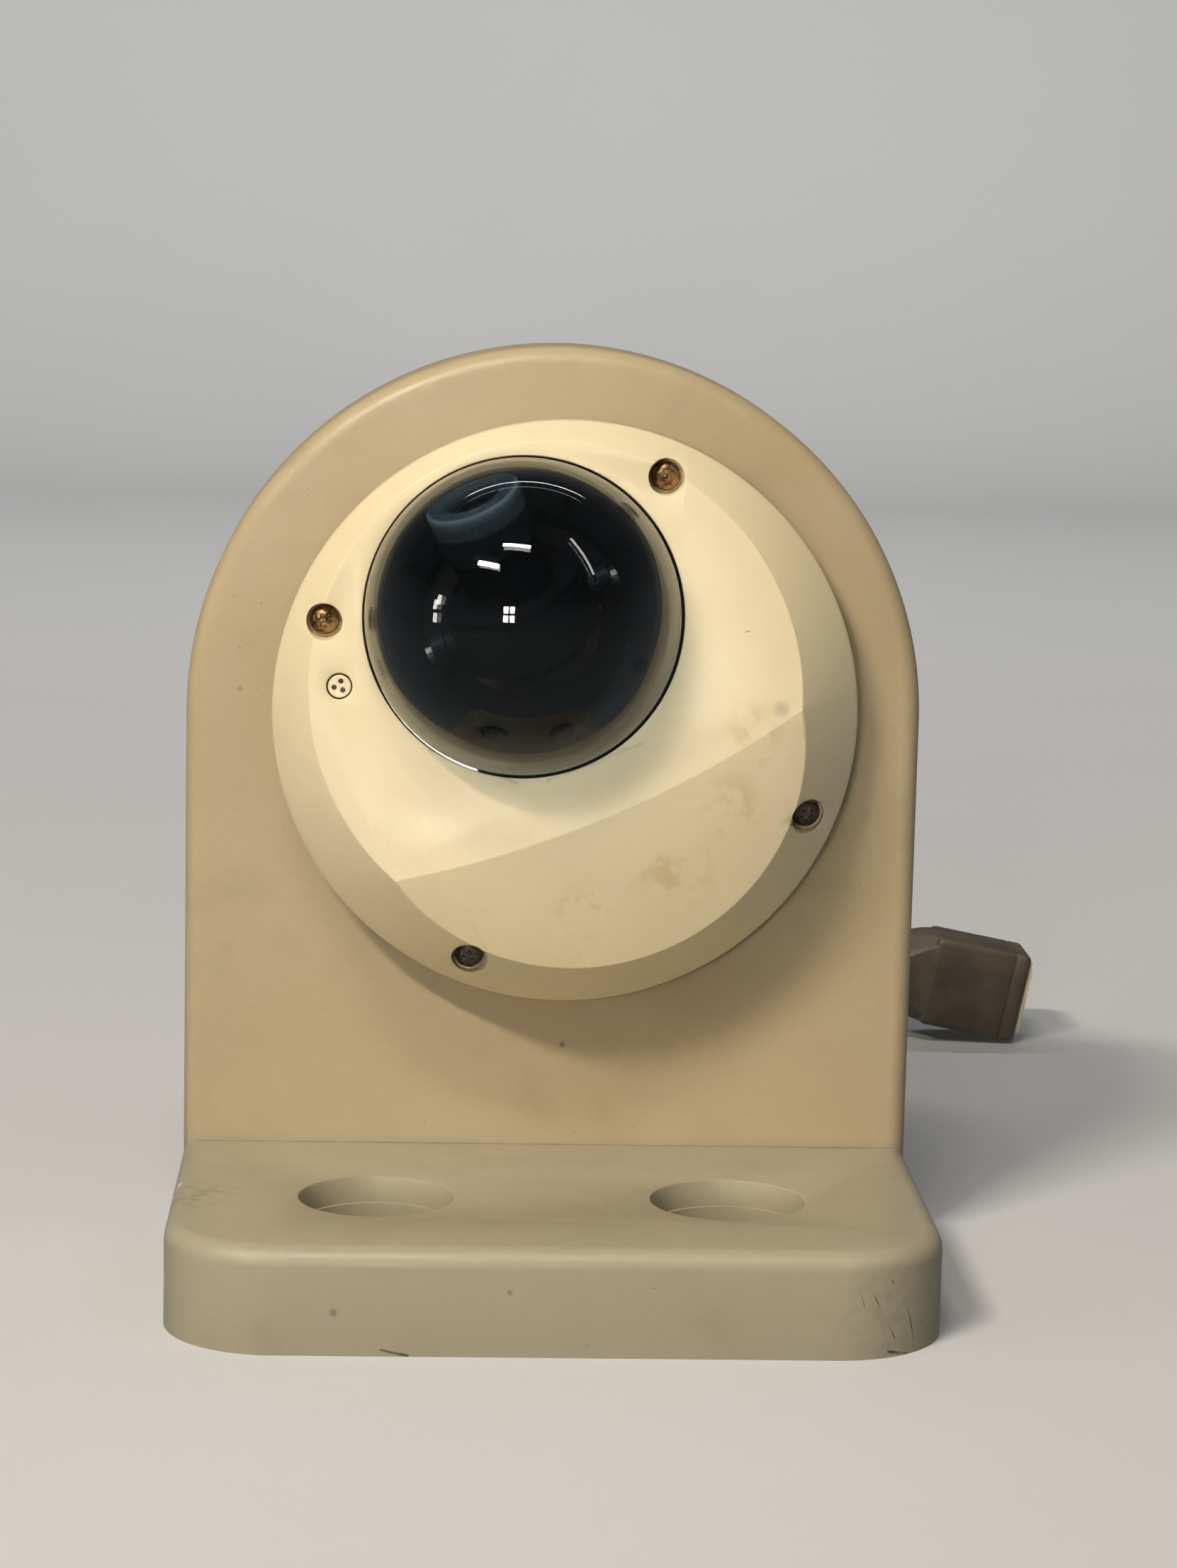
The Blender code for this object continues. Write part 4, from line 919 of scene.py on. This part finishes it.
def make_cover_screws():
    """Domed heads with a six-lobed socket and a pin, each turned a little further."""
    for number, (x, y, angle) in enumerate(around(4, SCREW_RING, SCREW_FIRST), 1):
        seat = HEAD_SEAT_W + 0.3
        frame_here = HEAD @ Matrix.Translation(mm(x, y, seat)) @ Matrix.Rotation(
            math.radians(17 * number), 4, "Z")
        shank = HEAD_SEAT_W - BASE_FLOOR - 0.6
        head = turned([(0, 2.4), (1.5, 2.4), (2.2, 2.15), (2.75, 1.55), (2.97, 0.8), (3.0, 0.25),
                       (2.9, 0), (1.5, 0), (1.5, -shank), (0, -shank)], 64, frame_here)
        socket = drum(1.12, 0.8, 3.4, 36, matrix=frame_here)
        lobes = [drum(0.40, 0.8, 3.4, 16, matrix=frame_here, at=(a, b, 0))
                 for a, b, turn in around(6, 1.12)]
        socket = boolean(socket, lobes, "UNION")
        pin = turned([(0, 2.15), (0.28, 2.1), (0.42, 1.9), (0.42, -0.5), (0, -0.5)], 24, frame_here)
        head = boolean(head, [boolean(socket, [pin])])
        finish_piece(head, f"cover_screw_head_{number}", TARNISH if number < 3 else GRIMED,
                     "housing", "aged_screw", f"cover_screw_{number}")


def make_microphone():
    port = turned([(0, -0.35), (2.15, -0.35), (2.3, -0.5), (2.3, -3.4), (0, -3.4)], 64, PAN,
                  MIC + (0,))
    hole = [(0, 2), (0.62, 2), (0.62, -0.34), (0.5, -0.48), (0.5, -1.6), (0, -1.6)]
    holes = [turned(hole, 28, PAN, (MIC[0] + x, MIC[1] + y, 0))
             for x, y, angle in around(3, MIC_HOLE_RING, MIC_FIRST)]
    finish_piece(boolean(port, holes), "microphone_port_disc", MIC_DISC, "housing", "cover_shell",
                 "microphone_port")


make_base()
make_cover()
make_cover_screws()
make_microphone()

# ---- dome window ------------------------------------------------------------------------------


def make_dome():
    inner = DOME_R - DOME_T
    profile = [(radius, height) for height, radius in arc(0, 0, DOME_R, 0, 90, 40)]
    profile += [(DOME_R, FLANGE_TOP), (DOME_R + 2.4, FLANGE_TOP), (DOME_R + 2.4, FLANGE_LOW),
                (inner, FLANGE_LOW)]
    profile += [(radius, height) for height, radius in arc(0, 0, inner, 90, 0, 40)]
    dome = turned(profile, 160, PAN)
    dome = boolean(dome, [drum(RIM_R - COVER_T - 0.5, -10, 70, 160, matrix=HEAD)], "INTERSECT")
    finish_piece(dome, "smoked_dome", SMOKE, "housing", "smoked_dome", "dome_window", angle=40)

    liner = turned([(28.6, -2.1), (28.6, -3.2), (24.4, -4.5), (21.0, -5.6), (21.0, -4.5)], 128, PAN)
    liner = boolean(liner, [drum(1.6, -8, 2, 32, matrix=PAN, at=(x, y, 0))
                            for x, y, angle in around(4, 25.2, 225)])
    finish_piece(liner, "dome_inner_liner", LINER, "housing", "black_plastic", "inner_liner")


make_dome()

# ---- lens and gimbal --------------------------------------------------------------------------


def make_lens():
    bezel = turned([(5.3, 26.5), (5.5, 26.9), (6.0, 27.25), (6.5, 27.3), (6.8, 27.0), (7.9, 27.0),
                    (8.2, 27.3), (8.8, 27.2), (9.3, 26.8), (9.5, 26.2), (9.5, 17.2), (9.1, 16.8),
                    (8.2, 16.8), (8.2, 25.2), (5.3, 25.2)], 96, LENS)
    finish_piece(bezel, "lens_bezel_ring", MODULE, "roll_stage", "black_plastic", "lens_bezel")
    barrel = turned([(3.2, 25.4), (3.4, 25.6), (4.7, 25.6), (4.9, 25.4), (4.9, 21.0), (6.3, 21.0),
                     (6.3, -4.0), (4.4, -4.0), (4.4, 22.6), (3.2, 22.6)], 96, LENS)
    finish_piece(barrel, "lens_focus_barrel", BLACK, "focus_barrel", "black_plastic",
                 "lens_barrel")
    glass = turned([(0, 25.3), (0.7, 25.28), (1.4, 25.18), (2.0, 25.0), (2.5, 24.75), (2.9, 24.5),
                    (2.9, 22.2), (4.1, 22.2), (4.1, 20.8), (0, 20.8)], 64, LENS)
    finish_piece(glass, "lens_front_element", OPTIC, "focus_barrel", "lens_glass",
                 "lens_front_glass")
    holder = turned([(6.9, 16.4), (8.3, 16.4), (8.6, 16.1), (8.6, -8.6), (6.9, -8.6)], 96, LENS)
    finish_piece(holder, "lens_holder_tube", BLACK, "roll_stage", "black_plastic", "lens_holder")


make_lens()

# ---- CAD nodes that stay: each gets the material of its slot -----------------------------------
KEPT_NODES = {
    "black_plastic": (BLACK, ["dome_clamp_ring", "microphone_capsule", "processor_chip",
                              "network_transformer", "reset_switch", "pan_base", "pan_retainer",
                              "pan_turntable", "tilt_cradle", "roll_ring"]),
    "rubber": (RUBBER, ["inner_lead", "cover_seal", "base_cable_gland", "dome_seal"]),
    "steel": (STEEL, ["foot_base_plate", "memory_card_socket"]),
    "circuit_board": (BOARD, ["main_board", "sensor_board"]),
    "heat_sink_metal": (ALU, ["heat_sink"]),
    "contact_gold": (GOLD, ["jack_contacts", "lens_lock_ring"]),
    "lens_glass": (OPTIC, ["sensor_chip"]),
    "jack_plastic": (IVORY, ["reset_button"]),
}
painted = set()
for finish, names in KEPT_NODES.values():
    for name in names:
        node = frame["nodes"][name]
        node.data.materials.clear()
        node.data.materials.append(finish)
        painted.add(name)
for name, node in frame["nodes"].items():
    if name not in painted and not node.hide_render:
        node.data.materials.clear()
        node.data.materials.append(STEEL)      # the small screws

bpy.data.collections.remove(scratch)

# ---- floor, backdrop and light ----------------------------------------------------------------


def make_stage():
    """A pale sweep: a floor that curves up into a wall well behind the object."""
    bend, back, tall = 0.5, 2.3, 2.6
    line = [(-3.2, 0.0), (back - bend, 0.0)]
    line += [(back - bend + bend * math.sin(math.radians(step * 6)),
              bend - bend * math.cos(math.radians(step * 6))) for step in range(1, 16)]
    line += [(back, tall)]
    mesh = bpy.data.meshes.new("sweep")
    points = [(x, y, z) for y, z in line for x in (-3.5, 3.5)]
    faces = [(2 * i, 2 * i + 1, 2 * i + 3, 2 * i + 2) for i in range(len(line) - 1)]
    mesh.from_pydata(points, [], faces)
    mesh.shade_smooth()
    sweep = bpy.data.objects.new("sweep", mesh)
    bpy.context.scene.collection.objects.link(sweep)
    shade = Shade("pale_sweep")
    shade.set(Base_Color=shade.mix(shade.noise(180, 2.0), (0.56, 0.565, 0.57), (0.59, 0.59, 0.59)),
              Roughness=0.85, Specular_IOR_Level=0.2)
    mesh.materials.append(shade.material)
    sweep.visible_glossy = False       # the dome mirrors the lamps, not the floor's edge
    sweep.visible_diffuse = False      # and the pale floor throws no light up the front


def make_lights():
    middle = Vector((0, 0, 0.10))
    warm = (1.0, 0.93, 0.82)
    pane_power = 0.032     # enough to show in the dome, too little to light the cover

    def lamp(name, toward, away, size, power, colour=warm, size_y=None):
        place = DOME_CENTRE + Vector(toward).normalized() * away
        return add_light(name, place, middle, size, power, colour, size_y)

    panes = [(x, z) for z in (0.19, 0.08) for x in (-0.24, -0.16)]
    for number, (x, z) in enumerate(panes, 1):
        pane = lamp(f"window_{number}", (x, -0.96, z), 1.9, 0.115, pane_power, warm, 0.165)
        pane.data.spread = math.radians(20)
    lamp("ceiling_left", (-0.42, -0.62, 0.66), 1.6, 0.42, 20.5, warm, 0.09)
    lamp("ceiling_front", (-0.10, -0.52, 0.85), 1.6, 0.50, 8.2, warm, 0.07)
    lamp("strip_right", (0.60, -0.38, 0.69), 1.6, 0.05, 1.5, (1.0, 0.98, 0.95), 0.75)
    for number, (x, z) in enumerate(((-0.94, 0.16), (-0.90, 0.02), (-0.84, 0.20)), 1):
        lamp(f"side_pane_{number}", (x, -0.38, z), 1.6, 0.09, 1.0, warm, 0.16)
    add_light("backdrop", (0, 0.9, 1.7), (0, 2.3, 0.7), 1.6, 24, (1, 1, 1), 0.3)
    world = bpy.data.worlds.new("studio")
    bpy.context.scene.world = world
    world.use_nodes = True
    tree = world.node_tree
    background = tree.nodes["Background"]
    background.inputs["Color"].default_value = (0.92, 0.96, 1.0, 1)
    split = tree.nodes.new("ShaderNodeSeparateXYZ")
    fade = tree.nodes.new("ShaderNodeMapRange")
    fade.interpolation_type = "SMOOTHSTEP"
    for socket, number in zip(list(fade.inputs)[1:5], (0.0, 0.45, 0.20, 0.08)):
        socket.default_value = number
    tree.links.new(tree.nodes.new("ShaderNodeTexCoord").outputs["Generated"], split.inputs[0])
    tree.links.new(split.outputs["Z"], fade.inputs[0])
    tree.links.new(fade.outputs[0], background.inputs["Strength"])


make_stage()
make_lights()
bpy.context.scene.view_settings.view_transform = "Standard"
